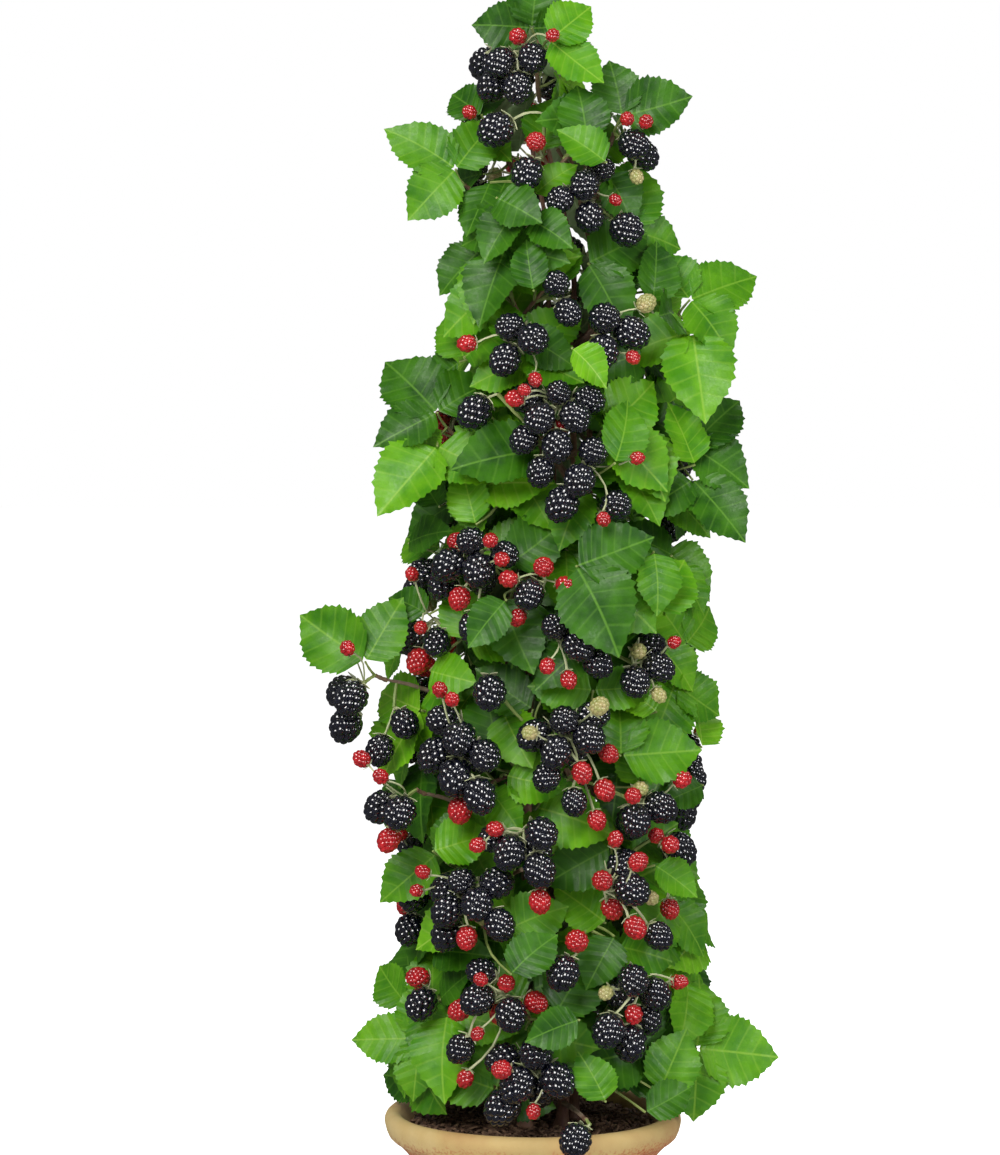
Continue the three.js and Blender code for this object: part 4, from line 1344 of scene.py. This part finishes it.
def readyPiece(name, material, angle=45):
    # the shape in hand, faced outwards, with its place in its mesh, smooth and named
    bpy.ops.mesh.select_all(action="SELECT")
    bpy.ops.mesh.normals_make_consistent(inside=False)
    bpy.ops.object.mode_set(mode="OBJECT")
    bpy.ops.object.transform_apply(location=True, rotation=True, scale=True)
    bpy.ops.object.shade_smooth_by_angle(angle=math.radians(angle))
    piece = bpy.context.object
    piece.name = name
    piece.data.name = name
    piece.data.materials.clear()
    piece.data.materials.append(material)
    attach(piece, "root")
    return piece


def applyModifier(piece, kind, **settings):
    modifier = piece.modifiers.new(kind.lower(), kind)
    for key, value in settings.items():
        setattr(modifier, key, value)
    bpy.ops.object.modifier_apply(modifier=modifier.name)


def cloudsOf(name, scale):
    clouds = bpy.data.textures.new(name, "CLOUDS")
    clouds.noise_scale = scale
    return clouds


def roughen(piece, clouds, strength, middle=0.5):
    # moves the surface in and out by a cloudy noise
    applyModifier(piece, "DISPLACE", texture=clouds, strength=strength, mid_level=middle,
                  texture_coords="LOCAL")


barkNoise = cloudsOf("barkNoise", 0.006)


def drawLimb(name, points, radii, sides, material, level):
    # from a first disc, level or square to the limb, each next one is drawn out along its line
    points = points * mm
    radii = radii * mm
    heading = up if level else unit(points[-1] - points[0])
    lean = math.acos(max(-1, min(1, heading[2])))
    facing = math.atan2(heading[1], heading[0])
    startDisc(sides, radii[0], tuple(points[0]), (0, lean, facing))
    for k in range(1, len(points)):
        drawOut(points[k] - points[k - 1], (radii[k] / radii[k - 1],) * 3, points[k])
    piece = readyPiece(name, material)
    applyModifier(piece, "SUBSURF", levels=1, render_levels=1)
    roughen(piece, barkNoise, limbDetail["relief"])
    return piece


limbDetail = {"nodeGap": 46, "nodeWidth": 0.14, "swell": 0.2, "between": 0.04, "relief": 0.0009}
# points along it, sides round it, and the gap between its nodes as a share of the canes'
caneDetail = {"steps": 56, "sides": 10, "gaps": 1}
boughDetail = {"steps": 14, "sides": 8, "gaps": 0.6}


def swollen(points, radii, gap):
    # a limb thickens at each node, where a leaf once stood
    run = np.concatenate([[0], np.cumsum(np.linalg.norm(np.diff(points, axis=0), axis=1))])
    phase = (run / gap) % 1
    bump = np.maximum(0, 1 - np.minimum(phase, 1 - phase) / limbDetail["nodeWidth"])
    return radii * (1 + limbDetail["swell"] * bump - limbDetail["between"])


def barkedLimb(name, line, detail, bark, level):
    thick = swollen(*line, limbDetail["nodeGap"] * detail["gaps"])
    return drawLimb(f"bark_{name}", line[0], thick, detail["sides"], bark, level)


for cane in canes:
    piece = barkedLimb(cane[0], caneLine(cane, caneDetail["steps"]), caneDetail, caneBark, True)
    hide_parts(cane[0])
for shoot in shoots:
    line = boughPoints(shoot, boughDetail["steps"])
    piece = barkedLimb(shoot[0], line, boughDetail, boughBark, False)
    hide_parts(f"bough_{shoot[0]}")
print("canes and boughs are drawn")


# The pot and its compost

potShape = {
    "sides": 96,
    # radius and height in millimetres, up the outside, over the lip and down the inside
    "outside": [(72, 0), (73.5, 1.5), (74, 4), (76.2, 24), (78.2, 42), (80, 60), (83, 84), (87, 110),
                (90.5, 132), (94, 150), (96.4, 155), (100, 160), (104.5, 165.5), (109, 170), (111, 172),
                (113.5, 173.2), (116.4, 176), (118.4, 180.4), (119.6, 185), (120, 187.6), (119.6, 190.4),
                (118.4, 193), (116.4, 194.8), (114, 195.7), (112, 196)],
    "inside": [(109.6, 195.4), (107, 194), (103.6, 189.4), (101, 184), (96, 173), (90, 162), (86.2, 152.5),
               (83, 144), (76.4, 100), (70, 60), (62, 12)],
    "wobble": 0.0008,
}


# patches and specks as noise scales, where the clay turns to cream, and how far each blurs that line
potFinish = {"patches": 16, "specks": 420, "creamFrom": (0.17, 0.182), "blur": 0.004, "speckBlur": 0.005}


def potMaterial():
    # pale cream on the lip, orange-red clay speckled through below it, by height on the pot
    material, look = newMaterial("terracotta", (0.6, 0.42, 0.22), 0.78)
    height = look.split(look.place())["Z"]
    broad = look.noise(potFinish["patches"], 4)
    speckle = look.noise(potFinish["specks"], 3)
    blur, speckBlur = potFinish["blur"], potFinish["speckBlur"]
    height = look.work("ADD", height, look.spread(broad, 0.3, 0.7, -blur, blur))
    height = look.work("ADD", height, look.spread(speckle, 0.35, 0.65, -speckBlur, speckBlur))
    lip = look.spread(height, *potFinish["creamFrom"], 0, 1)
    cream = look.ramp(broad, [(0.3, (0.46, 0.27, 0.1)), (0.5, (0.56, 0.4, 0.16)), (0.72, (0.64, 0.5, 0.24))])
    clay = look.ramp(speckle, [(0.36, (0.42, 0.07, 0.015)), (0.52, (0.52, 0.19, 0.06)),
                               (0.68, (0.6, 0.4, 0.22))])
    look.give("Base Color", look.mix(lip, clay, cream))
    look.give("Roughness", look.spread(speckle, 0.3, 0.7, 0.66, 0.86))
    look.bump(speckle, 0.35, 0.0008)
    return material


def throwPot():
    rows = [(r * mm, z * mm) for r, z in potShape["outside"] + potShape["inside"]]
    startDisc(potShape["sides"], rows[0][0], (0, 0, 0))
    for (r0, z0), (r1, z1) in zip(rows, rows[1:]):
        drawOut((0, 0, z1 - z0), (r1 / r0, r1 / r0, 1), (0, 0, z1))
    piece = readyPiece("thrown_pot", potMaterial(), 60)
    roughen(piece, cloudsOf("clayNoise", 0.045), potShape["wobble"], 1)
    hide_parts("pot")


compostShape = {"radius": 99.5, "taper": 6, "sides": 80, "top": 183, "deep": 14, "rings": 11,
                "ringStep": 8.6, "lump": 0.007}
# length, width and half thickness of a chip and its height on the compost: the least, and how much more
chipShape = {"count": 900, "reach": 96, "length": (2.2, 5), "width": (1.6, 2), "thickness": (0.5, 0.5),
             "height": (1.2, 2.4), "lean": 0.7}


def compostMaterial(name, low, high):
    material, look = newMaterial(name, high, 0.95)
    grain = look.noise(170, 6, None, 0.7)
    look.give("Base Color", look.ramp(grain, [(0.34, low), (0.66, high)]))
    look.bump(grain, 0.9, 0.003)
    return material


def fillCompost():
    # a shallow plug, its top divided into rings and raised in lumps
    top, deep = compostShape["top"] * mm, compostShape["deep"] * mm
    radius = compostShape["radius"] - compostShape["taper"]
    startDisc(compostShape["sides"], radius * mm, (0, 0, (compostShape["top"] - compostShape["deep"]) * mm))
    share = compostShape["radius"] / radius
    drawOut((0, 0, deep), (share, share, 1), (0, 0, top))
    for _ in range(compostShape["rings"]):
        bpy.ops.mesh.inset(thickness=compostShape["ringStep"] * mm)
    bpy.ops.mesh.poke()
    material = compostMaterial("compostDark", (0.02, 0.01, 0.006), (0.13, 0.07, 0.042))
    piece = readyPiece("compost", material, 80)
    applyModifier(piece, "SUBSURF", subdivision_type="SIMPLE", levels=1, render_levels=1)
    roughen(piece, cloudsOf("compostLumps", 0.012), compostShape["lump"])
    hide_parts("soil")


def scatterChips():
    # bark chips lie at all angles on the compost: flat slivers of six faces
    draw = Draw(11)
    batch = Batch()
    corners = np.array([(-1, -0.45, -1), (0.7, -0.6, -1), (1, 0.5, -1), (-0.7, 0.4, -1),
                        (-0.8, -0.4, 1), (0.8, -0.4, 1), (0.7, 0.55, 1), (-1, 0.35, 1)])
    faces = [(3, 2, 1, 0), (4, 5, 6, 7), (0, 1, 5, 4), (1, 2, 6, 5), (2, 3, 7, 6), (3, 0, 4, 7)]
    least, more = chipShape["height"]
    for k in range(chipShape["count"]):
        distance = chipShape["reach"] * math.sqrt((k + 0.5) / chipShape["count"])
        height = compostShape["top"] + least + more * draw.next()
        centre = outward(k * goldenTurn) * distance + up * height
        length = upFrom(chipShape["length"], draw.next() ** 2)
        width = upFrom(chipShape["width"], draw.next())
        size = np.array([length, width, upFrom(chipShape["thickness"], draw.next())])
        heading = unit(up + chipShape["lean"] * outward(360 * draw.next()) * draw.next())
        roll = anyTurn * draw.next()
        batch.add(standing(corners * size, centre, -heading, 1, roll), faces, [k % 2] * len(faces))
    dark = compostMaterial("chipDark", (0.04, 0.02, 0.012), (0.2, 0.11, 0.065))
    brown = compostMaterial("chipBrown", (0.09, 0.045, 0.026), (0.34, 0.21, 0.13))
    chips = batch.piece("bark_chips", [dark, brown], 30)


throwPot()
fillCompost()
scatterChips()
print("the pot is thrown and filled")


# Floor, light and camera

studio = {"floorSize": 60, "floorColour": (0.85, 0.85, 0.85), "floorGlow": 0.86, "skyLight": 0.3,
          "sheen": 0.08, "aim": (0, 0, 0.6)}
# name, place, size, power, colour
studioLights = [
    ("keyLight", (-1.1, -2.5, 2.5), 2.0, 98, (1, 0.985, 0.95)),
    ("fillLight", (2.3, -1.9, 1.4), 1.0, 30, (0.98, 0.99, 1)),
    ("backLight", (0.5, 2.3, 2.2), 1.6, 22, (1, 1, 1)),
]


def setStage():
    deselectAll()
    bpy.ops.mesh.primitive_plane_add(size=studio["floorSize"], location=(0, 0, 0))
    floor = bpy.context.object
    floor.name = "floor"
    # floor and sky are seen pale and even, and give the plant a softer light than they show
    paleFloor, look = newMaterial("paleFloor", studio["floorColour"], 0.9, Emission_Color=(1, 1, 1))
    seen = look.new("LightPath").outputs["Is Camera Ray"]
    look.give("Emission Strength", look.work("MULTIPLY", seen, studio["floorGlow"]))
    floor.data.materials.append(paleFloor)
    floor.visible_glossy = False
    world = bpy.data.worlds.new("studioSky")
    sky = Nodes(world, "Background")
    rays = sky.new("LightPath").outputs
    # gloss shows the lamps and hardly the white sky, as it does between dark screens
    light = sky.spread(rays["Is Glossy Ray"], 0, 1, studio["skyLight"], studio["sheen"])
    sky.give("Strength", sky.work("MAXIMUM", light, rays["Is Camera Ray"]))
    sky.give("Color", (1, 1, 1))
    bpy.context.scene.world = world
    for name, at, size, power, colour in studioLights:
        lamp = bpy.data.lights.new(name, "AREA")
        lamp.size, lamp.energy, lamp.color = size, power, colour
        holder = bpy.data.objects.new(name, lamp)
        holder.location = at
        away = np.array(at) - studio["aim"]
        holder.rotation_euler = (math.acos(away[2] / np.linalg.norm(away)), 0,
                                 math.atan2(away[1], away[0]) + math.pi / 2)
        bpy.context.scene.collection.objects.link(holder)
    lens = bpy.data.cameras.new("viewer")
    lens.lens, lens.sensor_width = camera["lens"], camera["sensor"]
    eye = bpy.data.objects.new("viewer", lens)
    eye.location = camera["at"]
    drop = camera["at"][2] - camera["looksAt"]
    eye.rotation_euler = (math.pi / 2 - math.atan(drop / -camera["at"][1]), 0, 0)
    bpy.context.scene.collection.objects.link(eye)
    bpy.context.scene.camera = eye
    bpy.context.scene.view_settings.view_transform = "Standard"


setStage()
